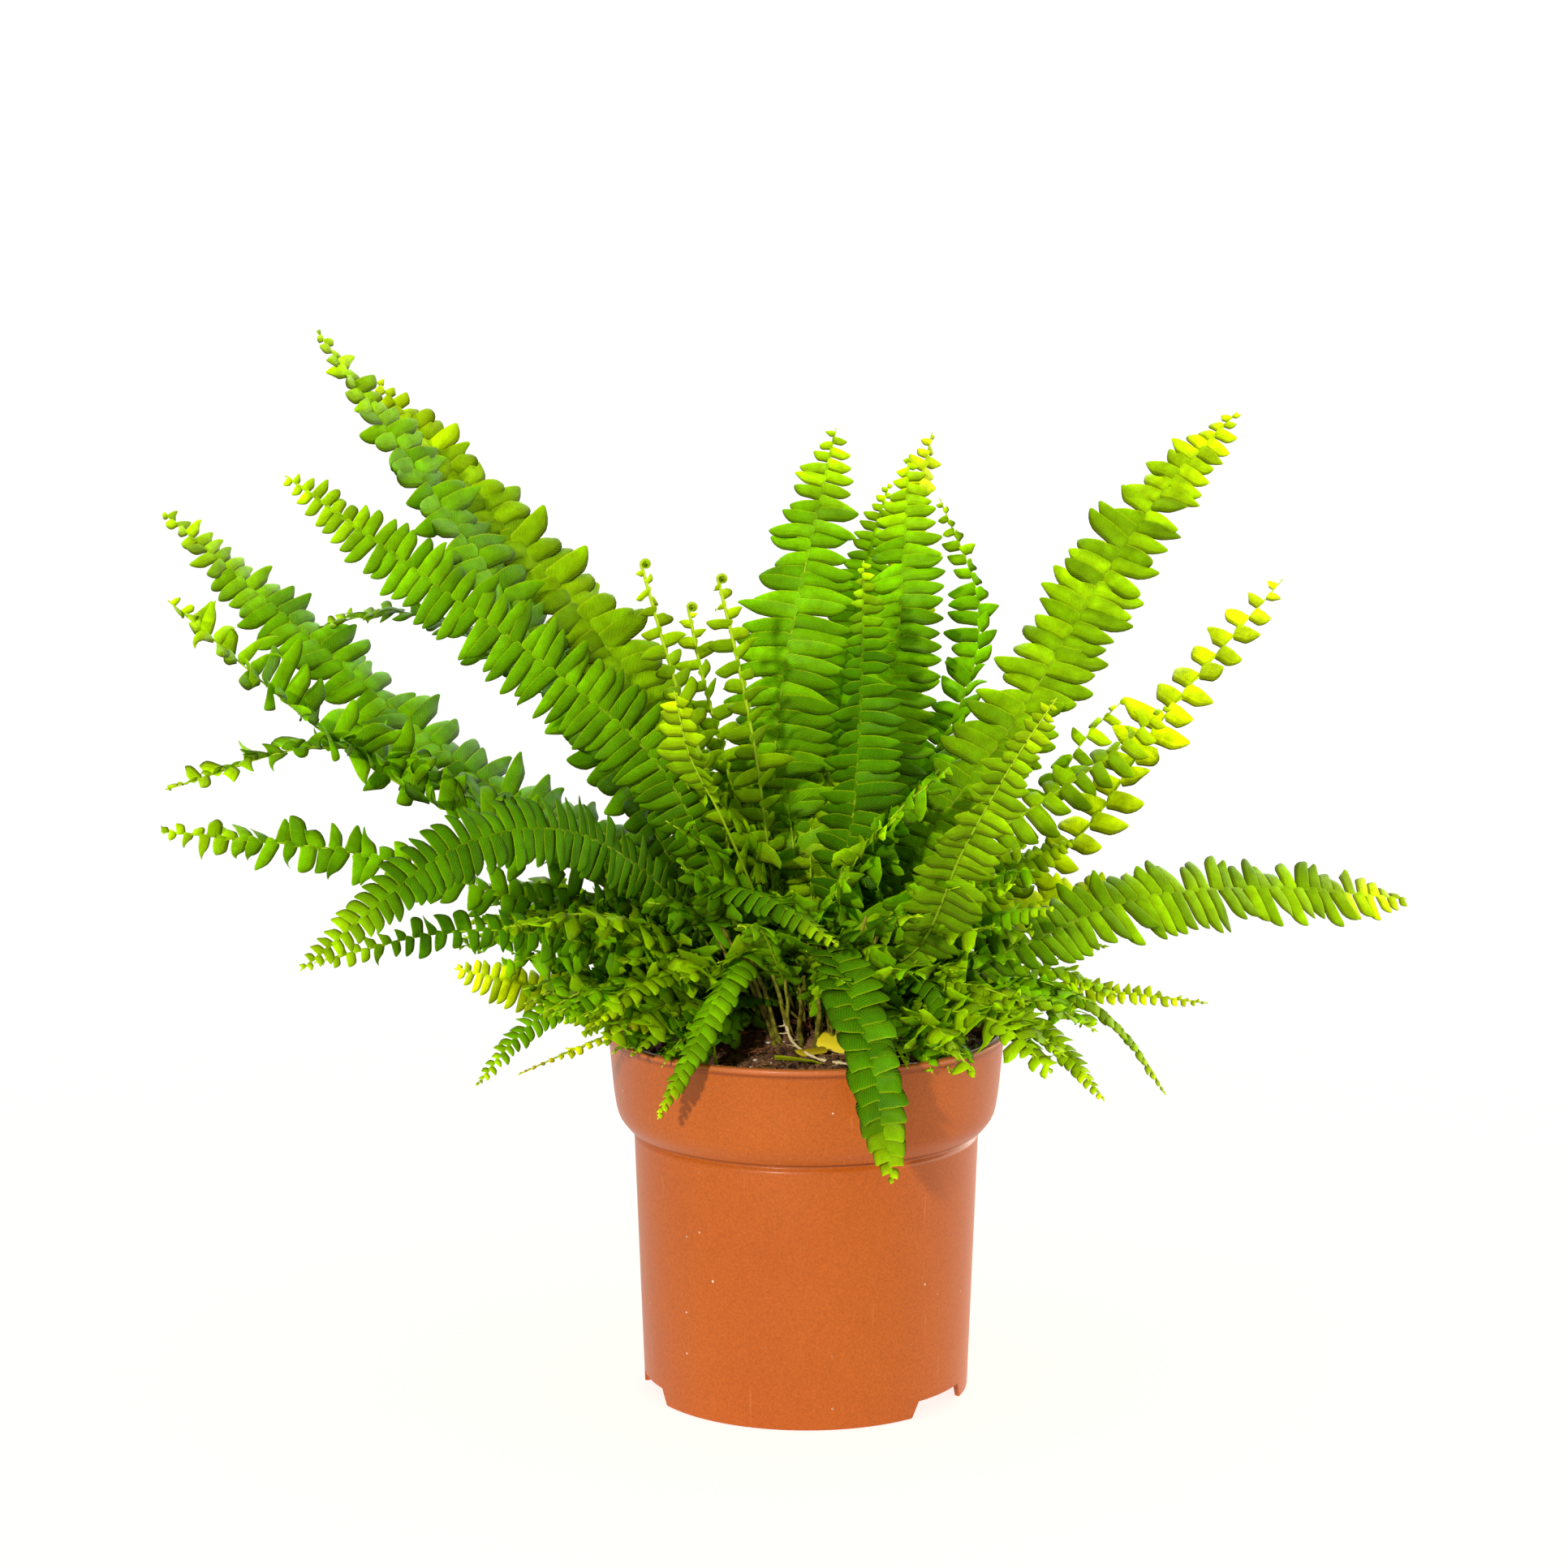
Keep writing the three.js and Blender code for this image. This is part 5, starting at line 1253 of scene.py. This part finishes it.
def pot_material():
    material, tree = new_material("polypropylene_moulded_terracotta")
    place = add(tree, "TexCoord").outputs["Object"]
    clouds = add(tree, "TexNoise", {"Vector": place, "Scale": 22.0, "Detail": 3.0})
    grain = add(tree, "TexNoise", {"Vector": place, "Scale": GRAINS_PER_METRE, "Detail": 3.0})
    base = add(tree, "Mix", {"Factor": clouds, "A": linear("9f490e"), "B": linear("af5915")}, **COLOUR)
    fine = add(tree, "MapRange", {
        "Value": grain, "From Min": 0.3, "From Max": 0.7, "To Min": 0.84, "To Max": 1.13})
    base = add(tree, "HueSaturation", {"Value": fine, "Color": base})
    base = dusted(tree, base, place)
    long_way = add(tree, "Mapping", {"Vector": place, "Scale": SCRATCH_STRETCH})
    threads = add(tree, "TexNoise", {"Vector": long_way, "Scale": 1.0, "Detail": 1.0})
    scratch = add(tree, "MapRange", {"Value": threads, "From Min": 0.70, "From Max": 0.78}, **SMOOTH)
    base = tinted(tree, base, scratch, 0.12, "dd9a6c")
    parts = add(tree, "SeparateXYZ", {"Vector": place})
    base = painted_light_by_height(tree, base, parts.outputs["Z"])
    waves = add(tree, "Math", {0: clouds, 1: 3.0}, **TIMES)
    height = add(tree, "Math", {0: grain, 1: waves}, **PLUS)
    bump = add(tree, "Bump", {"Height": height, "Strength": 0.25, "Distance": POT_RELIEF})
    rough = add(tree, "MapRange", {"Value": clouds, "To Min": 0.36, "To Max": 0.48})
    skin = add(tree, "BsdfPrincipled", {
        "Base Color": base, "Roughness": rough, "IOR": 1.49, "Specular IOR Level": 0.2,
        "Coat Weight": 0.12, "Coat Roughness": 0.2, "Normal": bump})
    add(tree, "OutputMaterial", {"Surface": skin})
    return material


def finish_piece(piece, nodes, materials, angle=35):
    """Gives a piece its materials and smooth faces, and ties it to the frame."""
    for material in materials:
        piece.data.materials.append(material)
    deselect_all()
    piece.select_set(True)
    bpy.context.view_layer.objects.active = piece
    bpy.ops.object.transform_apply(location=True, rotation=True, scale=True)
    bpy.ops.object.shade_smooth_by_angle(angle=math.radians(angle))
    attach(piece, "root")
    if nodes:
        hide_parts(*nodes)


finish_piece(pot, ["pot"], [pot_material()])
print("pot finished")

# %% [markdown]
# ## The soil
# The mix is peat, dark brown and crumbly, with white grains of perlite in it to keep it airy. The body is
# turned like the pot, and its top is pushed up and down by noise. A displaced surface alone looks like
# melted chocolate, so loose crumbs, perlite grains and fibres lie on it as geometry, at the front also on
# the foot of the crown.

# %%
# Turn the soil
SOIL_STEPS = 110
SOIL_EDGE = 56.5
SOIL_SEAT = 29.3
SOIL_SEAT_FLOOR = 96.7
FIRST_TOP_RING = 1.2
TOP_RING_STEP = 1.4
# Only points above this height and this far inside the edge are moved by the bumps.
BUMPS_ABOVE = 101.8
BUMPS_INSIDE_EDGE = 0.5
# The ground's height by radius, from the crown's slope out to the pot's wall, in millimetres.
GROUND_RADII = [16, 22, 26, 29, 56.85]
GROUND_HEIGHTS = [115.3, 113.1, 111.2, 107.5, 102.0]
# Each bump's height, and how wide it is, in millimetres. The grains lie on the first two.
SOIL_BUMPS = [(1.1, 9), (0.7, 3.5), (0.5, 1.6)]
BUMP_LEVEL = 4.7


def ground(r):
    """Height of the crown's slope, or of the soil, at a radius in millimetres."""
    return float(np.interp(r, GROUND_RADII, GROUND_HEIGHTS))


def bumpy(x, y, size):
    """A smooth random height from -1 to 1 that changes over about size millimetres."""
    return noise.noise(Vector((x / size, y / size, BUMP_LEVEL)))


def relief(x, y, bumps):
    return sum(height * bumpy(x, y, size) for height, size in bumps)


def roughen(piece, above, within, bumps):
    """Moves the points of a piece above a height and within a radius, in millimetres, up and down."""
    for vertex in piece.data.vertices:
        x, y, z = (value / MM for value in vertex.co)
        if z > above and math.hypot(x, y) < within:
            vertex.co.z += relief(x, y, bumps) * MM


TOP_RINGS = [(r, ground(r), 0) for r in np.arange(SOIL_EDGE - FIRST_TOP_RING, SOIL_SEAT, -TOP_RING_STEP)]
SOIL_OUTLINE = [
    (1, 8.3, 0), (47.1, 8.3, 0), (49.6, 74, 0), (50.6, 81.8, 0), (55.6, 91, 0), (SOIL_EDGE, 101.6, 0),
    *TOP_RINGS, (SOIL_SEAT, ground(SOIL_SEAT), 0), (SOIL_SEAT, SOIL_SEAT_FLOOR, 0), (1, SOIL_SEAT_FLOOR, 0),
]
soil = turn("soil_bed", SOIL_OUTLINE, SOIL_STEPS)
roughen(soil, BUMPS_ABOVE, SOIL_EDGE - BUMPS_INSIDE_EDGE, SOIL_BUMPS)
print("soil:", len(soil.data.polygons), "faces")

# %% [markdown]
# Crumbs and perlite grains are all copies of one lump, a cube that is subdivided to 24 faces and rounded,
# and then turned, squashed and scaled in each copy. Fibres are thin tubes that wander over the ground.

# %%
# Model one lump, and copy it

# Loose grains: how many, their sizes, their material, the sector they lie in, how far they are lifted as a
# share of their size, and the radius they lie outside of. Material 0 is peat, 1 perlite and 2 fibre.
GRAINS = [
    (520, (0.5, 1.9), 0, (0, 360), 0.2, 28),
    (420, (0.5, 1.7), 0, (235, 325), 0.2, 28),
    (46, (0.4, 1.0), 1, (0, 360), 0.45, 28),
    (60, (0.3, 0.9), 1, (240, 320), 0.45, 28),
    (420, (0.5, 1.9), 0, (236, 304), 0.25, 18),
    (26, (0.4, 0.9), 1, (240, 300), 0.5, 20),
]
GRAINS_TO = 55.6
FIBRES = 150
FIBRES_ALL_ROUND = 0.4
FIBRE_SECTOR = (235, 320)
FIBRE_RADII = (29, 54)
FIBRE_LENGTHS = (3, 9)
FIBRE_THICKNESS = (0.07, 0.16)
FIBRE_LIFT = 0.7
FULL_TURN = 6.28

def model_lump():
    deselect_all()
    bpy.ops.mesh.primitive_cube_add(size=1.2)
    made = bpy.context.object
    bpy.ops.object.mode_set(mode="EDIT")
    bpy.ops.mesh.subdivide(number_cuts=1, smoothness=0.9)
    bpy.ops.object.mode_set(mode="OBJECT")
    points = np.array([v.co for v in made.data.vertices])
    faces = np.array([p.vertices[:] for p in made.data.polygons])
    bpy.data.objects.remove(made)
    return points, faces


LUMP_POINTS, LUMP_FACES = model_lump()


def scatter_lumps(quads, count, sizes, finish, sector, lift, inner, rng):
    """Lumps on the soil and the foot of the crown, in a sector of bearings, in degrees."""
    for _ in range(count):
        r = math.sqrt(rng.uniform(inner**2, GRAINS_TO**2))
        angle = math.radians(rng.uniform(*sector))
        size = rng.uniform(*sizes) * rng.uniform(0.6, 1)
        x, y = r * math.cos(angle), r * math.sin(angle)
        turned_by = rng.uniform(0, FULL_TURN)
        turned = Matrix.Rotation(turned_by, 3, Vector([rng.uniform(-1, 1) for _ in range(3)]))
        ragged = [rng.uniform(0.75, 1.25) for _ in range(len(LUMP_POINTS))]
        squash = [rng.uniform(0.7, 1.3), rng.uniform(0.7, 1.2), rng.uniform(0.5, 1)]
        points = LUMP_POINTS * np.array(ragged)[:, None] * squash @ np.array(turned)
        top = ground(r) + relief(x, y, SOIL_BUMPS[:2]) + lift * size
        points = points * size * MM + np.array([x, y, top]) * MM
        uv = np.zeros((len(LUMP_FACES), 4, 2))
        quads.put(points, LUMP_FACES, uv, finish, 0, rng.random(), rng.uniform(-1, 1))


def wander(start, heading, length, steps, turn_by, rng, rise=0.0):
    """A line that wanders over the ground from a place, in millimetres."""
    line = [np.array(start, float)]
    for _ in range(steps):
        heading += rng.uniform(-turn_by, turn_by)
        move = np.array([math.cos(heading), math.sin(heading), rise + rng.uniform(-0.12, 0.12)])
        line.append(line[-1] + move * length / steps)
    return np.array(line)


def lay_fibre(quads, rng):
    anywhere = rng.random() < FIBRES_ALL_ROUND
    angle = math.radians(rng.uniform(0, 360) if anywhere else rng.uniform(*FIBRE_SECTOR))
    r = rng.uniform(*FIBRE_RADII)
    start = (r * math.cos(angle), r * math.sin(angle), ground(r) + FIBRE_LIFT)
    line = wander(start, rng.uniform(0, FULL_TURN), rng.uniform(*FIBRE_LENGTHS), 6, 0.6, rng)
    put_tube(quads, line * MM, rng.uniform(*FIBRE_THICKNESS) * MM, 4, 2, rng.random(), rng.uniform(-1, 1))


crumbs = Quads()
rng = random.Random("soil")
for row in GRAINS:
    scatter_lumps(crumbs, *row, rng)
for _ in range(FIBRES):
    lay_fibre(crumbs, rng)
print("crumbs, perlite and fibres:", len(crumbs.parts))

# %% [markdown]
# Peat is nearly black where it is damp and mid brown where it has dried, with a dull, rough face. Perlite is
# a foamed glass: off-white, matt and pitted. The fibres are dry and tan.

# %%
# Make the soil's materials
SHADE_STRENGTH = 0.22


def earthy_material(name, dark, light, scale, roughness, bump_mm):
    """A matt, grainy material: noise over noise between two colours, and a bump of a real height."""
    material, tree = new_material(name)
    place = add(tree, "TexCoord").outputs["Object"]
    shade = add(tree, "Attribute", attribute_name="shade").outputs["Fac"]
    coarse = add(tree, "TexNoise", {"Vector": place, "Scale": scale, "Detail": 6.0, "Roughness": 0.7})
    fine = add(tree, "TexVoronoi", {"Vector": place, "Scale": scale * 5})
    level = add(tree, "MapRange", {"Value": coarse, "From Min": 0.32, "From Max": 0.70})
    own = add(tree, "Math", {0: shade, 1: SHADE_STRENGTH}, **TIMES)
    level = add(tree, "Math", {0: level, 1: own}, **PLUS)
    colour = add(tree, "Mix", {"Factor": level, "A": linear(dark), "B": linear(light)}, **COLOUR)
    height = add(tree, "Math", {0: coarse, 1: fine.outputs["Distance"]}, **PLUS)
    bump = add(tree, "Bump", {"Height": height, "Strength": 0.8, "Distance": bump_mm * MM})
    skin = add(tree, "BsdfPrincipled", {
        "Base Color": colour, "Roughness": roughness, "Specular IOR Level": 0.2, "Normal": bump})
    add(tree, "OutputMaterial", {"Surface": skin})
    return material


PEAT = earthy_material("peat_damp_crumbly", "28180e", "8a6244", 260, 0.95, 0.5)
PERLITE = earthy_material("perlite_foamed_white", "cfc7bb", "f4f1ea", 900, 0.85, 0.2)
FIBRE = earthy_material("root_fibre_dry_tan", "6b4527", "b08a5a", 700, 0.8, 0.1)
finish_piece(soil, ["soil"], [PEAT], 60)
loose = crumbs.build("soil_crumbs", [PEAT, PERLITE, FIBRE])
finish_piece(loose, [], [], 50)
print("soil finished")

# %% [markdown]
# ## The crown
# A fern's stalks rise from a short upright stem that is covered in brown, papery scales and old stalk bases.
# The dome below stands for that stem, and its foot is covered in peat. The scales are thin tapering strands
# that lean outwards, a tuft at the foot of each stalk. At the front stand a tangle of fine roots and two
# dozen bare old stalks.

# %%
# Build the crown and its scales
CROWN_OUTLINE = [
    (1, 97, 0), (28.5, 97, 0), (29, 108, 1), (26, 111.2, 1), (22, 113.1, 1), (16, 115.3, 1), (10, 116.8, 1),
    (1, 117.5, 0),
]
CROWN_STEPS = 72
CROWN_BUMPS = [(0.9, 5), (0.6, 2)]
CROWN_BUMPS_ABOVE = 106
# Peat covers the crown up to this height, give or take a bump.
PEAT_UP_TO = 112.5
PEAT_BUMPS = [(1.5, 4)]
SCALES_IN_A_TUFT = 16
SCALE_RADII = np.array([0.26, 0.3, 0.25, 0.16, 0.04]) * MM
ROOTS = 46
ROOTS_MIDDLE = (-21, -31)
ROOTS_SPREAD = (4.5, 3)
OLD_STALKS = 24
STALK_SECTOR = (242, 292)
STALK_RING = (17, 28)
STALK_FOOT = 108
STALK_LENGTHS = (20, 46)
STALK_RADII = (0.82, 0.5)
STALK_PLACES = 7


def lay_tuft(quads, rib, rng):
    """The scales at the foot of one stalk."""
    for _ in range(SCALES_IN_A_TUFT):
        angle = rng.uniform(0, 2 * math.pi)
        spread = np.array([math.cos(angle), math.sin(angle), 0])
        start = rib["foot"] + spread * rng.uniform(0.4, 1.6) * MM
        lean = unit(rib["start"] + spread * rng.uniform(0.2, 0.9))
        long = rng.uniform(2.5, 7) * MM
        bend = spread * rng.uniform(0, 0.5) * long
        line = [start + lean * long * t + bend * t**2 for t in np.linspace(-0.2, 1, len(SCALE_RADII))]
        put_tube(quads, line, SCALE_RADII, 4, 0, rng.random(), rng.uniform(-1, 1))


def lay_root(quads, rng):
    """One fine root of the tangle at the front."""
    x, y = (rng.gauss(middle, spread) for middle, spread in zip(ROOTS_MIDDLE, ROOTS_SPREAD))
    start = (x, y, ground(30) + rng.uniform(0, 7))
    line = wander(start, rng.uniform(0, FULL_TURN), rng.uniform(4, 9), 6, 1.0, rng, 0.15)
    put_tube(quads, line * MM, rng.uniform(0.08, 0.2) * MM, 4, 0, rng.random(), rng.uniform(-1, 1))


def lay_old_stalk(quads, rng):
    """One bare stalk, which leans outwards and is a little crooked."""
    bearing = math.radians(rng.uniform(*STALK_SECTOR))
    r = rng.uniform(*STALK_RING)
    start = np.array([r * math.cos(bearing), r * math.sin(bearing), STALK_FOOT]) * MM
    lean = unit(np.array([0.5 * math.cos(bearing) + rng.uniform(-0.3, 0.3), 0.35 * math.sin(bearing), 1]))
    line = start + lean * np.linspace(0, rng.uniform(*STALK_LENGTHS), STALK_PLACES)[:, None] * MM
    crooked = [[rng.uniform(-0.5, 0.5), rng.uniform(-0.5, 0.5), 0] for _ in range(STALK_PLACES)]
    radii = np.linspace(*STALK_RADII, STALK_PLACES) * MM
    put_tube(quads, line + np.array(crooked) * MM, radii, 6, 1, rng.random(), rng.uniform(-1, 1))


crown = turn("crown_dome", CROWN_OUTLINE, CROWN_STEPS)
bpy.context.view_layer.objects.active = crown
bpy.ops.object.mode_set(mode="EDIT")
bpy.ops.mesh.select_all(action="SELECT")
bpy.ops.mesh.subdivide(number_cuts=1)
bpy.ops.object.mode_set(mode="OBJECT")
roughen(crown, CROWN_BUMPS_ABOVE, SOIL_SEAT, CROWN_BUMPS)
CROWN = earthy_material("crown_papery_brown_scales", "180d07", "40280f", 500, 0.85, 0.4)
finish_piece(crown, ["crown"], [CROWN, PEAT], 60)
for face in crown.data.polygons:
    x, y, z = face.center / MM
    face.material_index = int(z + relief(x, y, PEAT_BUMPS) < PEAT_UP_TO)

scales = Quads()
rng = random.Random("scales")
for rib in RIBS.values():
    lay_tuft(scales, rib, rng)
for _ in range(ROOTS):
    lay_root(scales, rng)
for _ in range(OLD_STALKS):
    lay_old_stalk(scales, rng)
STALK = earthy_material("old_stalk_scaly_olive", "3a300c", "98962a", 500, 0.6, 0.15)
SCALE = earthy_material("fern_scales_red_brown", "3a1d0e", "8a5430", 600, 0.75, 0.1)
tufts = scales.build("crown_scales", [SCALE, STALK])
finish_piece(tufts, [], [], 60)
print("crown scales, roots and old stalks:", len(scales.parts))

# %% [markdown]
# ## The runner
# A sword fern spreads by runners, thin pale shoots that creep over the soil. This one is knobbly and has
# short side roots. It is a tube along the line that its solid follows, thick and thin by turns. Beside it
# lies a small green sprig, and further left stands a thin shoot, both in the leaves' lime green.

# %%
# Build the runner and its side roots
RUNNER_ROOT = (4, 255)
RUNNER_PLACES = [(-4, -30, 111), (3, -37, 107.6), (12, -42, 107), (20, -45, 107)]
RUNNER_PLACE_STEP = 6
KNOB_RADIUS = 0.44
KNOB_SWELL = 0.13
KNOB_RATE = 2.1
RUNNER_END = [0.8, 0.6, 0.35]
SPRIG_START = (-9, -37.5, 107.9)
SPRIG_RADII = (0.75, 0.25)
SHOOT_PLACES = np.array([[-25, -46, 103], [-25.4, -46.5, 106], [-26, -46.5, 109.5], [-26.3, -46, 113]]) * MM
SHOOT_RADII = np.array([0.5, 0.45, 0.4, 0.3]) * MM


def runner_line():
    """Places along the runner, and its length up to each."""
    foot = root_place(*RUNNER_ROOT)
    lead = unit(np.array([foot[0] * 0.35 + 2 * MM, foot[1] * 0.35, 9 * MM]))
    return smooth_line([foot, foot + lead * 2 * MM, *[np.array(p) * MM for p in RUNNER_PLACES]])


def lay_runner(quads, line, rng):
    """The knobbly runner and a side root at every second place."""
    swells = [KNOB_SWELL * math.sin(k * KNOB_RATE) + rng.uniform(-0.08, 0.12) for k in range(len(line))]
    knobs = (KNOB_RADIUS + np.array(swells)) * MM
    knobs[-len(RUNNER_END) :] *= RUNNER_END
    put_tube(quads, line, knobs, 6, 0, 0.5, 0)
    for place in line[3:-2:2]:
        heading = rng.uniform(0, 2 * math.pi)
        root = wander(place / MM, heading, rng.uniform(2.5, 7), 6, 0.5, rng, -0.05)
        put_tube(quads, root * MM, np.linspace(0.22, 0.06, len(root)) * MM, 4, 0, 0.5, rng.uniform(-1, 1))


runner = Quads()
rng = random.Random("runner")
line, lengths = runner_line()
lay_runner(runner, line[::RUNNER_PLACE_STEP], rng)
sprig = wander(SPRIG_START, -0.1, 15, 8, 0.25, rng, -0.03)
put_tube(runner, sprig * MM, np.linspace(*SPRIG_RADII, len(sprig)) * MM, 6, 1, 0.9, 0)
put_tube(runner, SHOOT_PLACES, SHOOT_RADII, 6, 1, 0.3, 0)
RUNNER = earthy_material("runner_pale_corky_skin", "b39a66", "ecdcb2", 900, 0.6, 0.12)
creeper = runner.build("runner_knobbly", [RUNNER, LEAF["lime"]])
finish_piece(creeper, ["runner"], [], 60)
print("runner:", round(lengths[-1] / MM), "mm long")

# %% [markdown]
# ## Dead leaflets
# Two leaflets have died and dropped on the soil. A dead leaflet loses its green first and turns a clear
# yellow, then brown from its margin inwards, and it dries curled.

# %%
# Lay the dead leaflets

# Each one: its middle, its bearing and how far its tip points down, in degrees, its length and its width.
DEAD_LEAFLETS = [
    ((10.5, -31, 110.5), -10, 6, 15, 6.2),
    ((1.5, -34, 109.2), 170, 8, 9, 4.4),
]
DEAD_TILT = np.array([0, 0, 0.75])
DEAD_BEND = {"sag": 0.03, "droop": 0.06, "twist": 0, "turn": 0.3, "cup": 1}


def dead_leaf_material():
    material, tree = new_material("leaflet_dead_yellow_papery")
    place = add(tree, "SeparateXYZ", {"Vector": add(tree, "UVMap", uv_map="UVMap")})
    spots = add(tree, "TexNoise", {
        "Vector": add(tree, "TexCoord").outputs["Object"], "Scale": 350.0, "Detail": 4.0})
    from_middle = add(tree, "Math", {0: place.outputs["Y"], 1: 0.5}, **MINUS)
    across = add(tree, "Math", {0: from_middle}, **SIZE_ONLY)
    ragged = add(tree, "Math", {0: spots, 1: 0.5}, **TIMES)
    edge = add(tree, "Math", {0: across, 1: ragged}, **PLUS)
    brown = add(tree, "MapRange", {"Value": edge, "From Min": 0.66, "From Max": 0.8}, **SMOOTH)
    colour = add(tree, "Mix", {"Factor": spots, "A": linear("ecdc1c"), "B": linear("ffec30")}, **COLOUR)
    colour = add(tree, "Mix", {"Factor": brown, "A": colour, "B": linear("9a6a22")}, **COLOUR)
    skin = add(tree, "BsdfPrincipled", {"Base Color": colour, "Roughness": 0.55})
    flesh = add(tree, "BsdfTranslucent", {"Color": colour})
    surface = add(tree, "MixShader", {0: 0.3, 1: skin, 2: flesh})
    add(tree, "OutputMaterial", {"Surface": surface})
    return material


def lay_dead_leaflet(quads, middle, turn_by, tip_by, length, width):
    heading, tip = math.radians(turn_by), math.radians(tip_by)
    out = np.array([math.cos(heading) * math.cos(tip), math.sin(heading) * math.cos(tip), -math.sin(tip)])
    ahead = unit(np.array([-math.sin(heading), math.cos(heading), 0.0]) + DEAD_TILT)
    start = np.array(middle) * MM - out * length * MM / 2
    copy_leaflet(quads, FULL, start, out, ahead, length * MM, width * MM, DEAD_BEND, -1, 0.5, 0)


dead = Quads()
for row in DEAD_LEAFLETS:
    lay_dead_leaflet(dead, *row)
fallen = dead.build("dead_leaflets", [dead_leaf_material()])
finish_piece(fallen, ["fallen_leaflet"], [], 70)
print("dead leaflets:", len(dead.parts))

# %% [markdown]
# ## Floor and light
# The plant stood in a white room, with a hard low light almost in front of it, a little to the left, and a
# softer one from above on the left. A lamp and a white wall behind the plant shine through its leaves, and a
# white card on the right fills in the shade. The floor has its own light, so that it stays nearly white. The
# sky is white to the camera and in reflections, but it falls on the plant as a weak warm light.

# %%
# Make the floor and the light

# Each sun: its bearing and its height above the level, the width of its disc in degrees, power and colour.
SUNS = {
    "key_upper_left": (-110, 20, 3, 3.0, "fffaf0"),
    "fill_from_above": (-150, 60, 40, 0.9, "fff0c8"),
    "floor_light": (-90, 80, 30, 2.8, "ffffff"),
}
# Each lamp: its place and its size in metres, its power in watts, and its colour.
LAMPS = {
    "through_the_right_leaves": ((1.25, 0.9, 0.4), 1.2, 20, "fffbe8"),
    "white_card_right": ((1.2, -0.05, 0.12), 0.8, 11, "fff4e0"),
    "white_wall_behind": ((0.3, 1.5, 0.5), 2.2, 40, "ffffff"),
}
LAMPS_AIM = (0, 0, 0.17)
FLOOR_SIZE = 16
FLOOR_DROP = 0.4 * MM
SKY_SEEN = 1.02
SKY_ON_PLANT = 0.25


def pale_floor():
    deselect_all()
    bpy.ops.mesh.primitive_plane_add(size=FLOOR_SIZE, location=(0, 0, -FLOOR_DROP))
    floor = bpy.context.object
    floor.name = "floor"
    bpy.ops.object.transform_apply(location=True)
    material, tree = new_material("floor_white_matt_paper")
    grain = add(tree, "TexNoise", {"Vector": add(tree, "TexCoord").outputs["Object"], "Scale": 900.0})
    tint = add(tree, "MapRange", {"Value": grain, "To Min": 0.97, "To Max": 1.0})
    white = add(tree, "HueSaturation", {"Value": tint, "Color": linear("fafafa")})
    skin = add(tree, "BsdfPrincipled", {"Base Color": white, "Roughness": 0.9})
    add(tree, "OutputMaterial", {"Surface": skin})
    floor.data.materials.append(material)
    return floor


def set_light(kind, name, place, power, colour):
    bpy.ops.object.light_add(type=kind, location=place)
    light = bpy.context.object
    light.name = name
    light.data.energy = power
    light.data.color = linear(colour)[:3]
    return light


def lamp(name, place, size, power, colour):
    """A square lamp that faces the plant's middle."""
    light = set_light("AREA", name, place, power, colour)
    light.data.size = size
    away = np.array(place) - np.array(LAMPS_AIM)
    level = math.hypot(away[0], away[1])
    light.rotation_euler = (math.atan2(level, away[2]), 0, math.atan2(away[0], -away[1]))
    return light


def sun(name, bearing, height, spread, power, colour):
    """Light from a bearing and a height above the level, in degrees."""
    light = set_light("SUN", name, (0, 0, 1), power, colour)
    light.data.angle = math.radians(spread)
    light.rotation_euler = (math.radians(90 - height), 0, math.radians(bearing + 90))
    return light


floor = pale_floor()
deselect_all()
lights = {name: sun(name, *row) for name, row in SUNS.items()}
lights.update({name: lamp(name, *row) for name, row in LAMPS.items()})
lights["white_wall_behind"].visible_camera = False
only_floor = bpy.data.collections.new("floor_only")
not_floor = bpy.data.collections.new("all_but_the_floor")
for collection in (only_floor, not_floor):
    collection.objects.link(floor)
not_floor.collection_objects[0].light_linking.link_state = "EXCLUDE"
for name, light in lights.items():
    light.light_linking.receiver_collection = only_floor if name == "floor_light" else not_floor
lights["floor_light"].light_linking.blocker_collection = only_floor
world = bpy.data.worlds.new("white_room")
bpy.context.scene.world = world
world.use_nodes = True
sky = world.node_tree
sky.nodes.clear()
seen = add(sky, "Background", {"Color": linear("ffffff"), "Strength": SKY_SEEN})
falling = add(sky, "Background", {"Color": linear("fff4d8"), "Strength": SKY_ON_PLANT})
path = add(sky, "LightPath")
share = add(sky, "Math", {0: path.outputs["Is Camera Ray"], 1: path.outputs["Is Glossy Ray"]}, **LARGER)
add(sky, "OutputWorld", {"Surface": add(sky, "MixShader", {0: share, 1: falling, 2: seen})})
bpy.context.scene.view_settings.view_transform = "Standard"
print("lights:", list(lights))
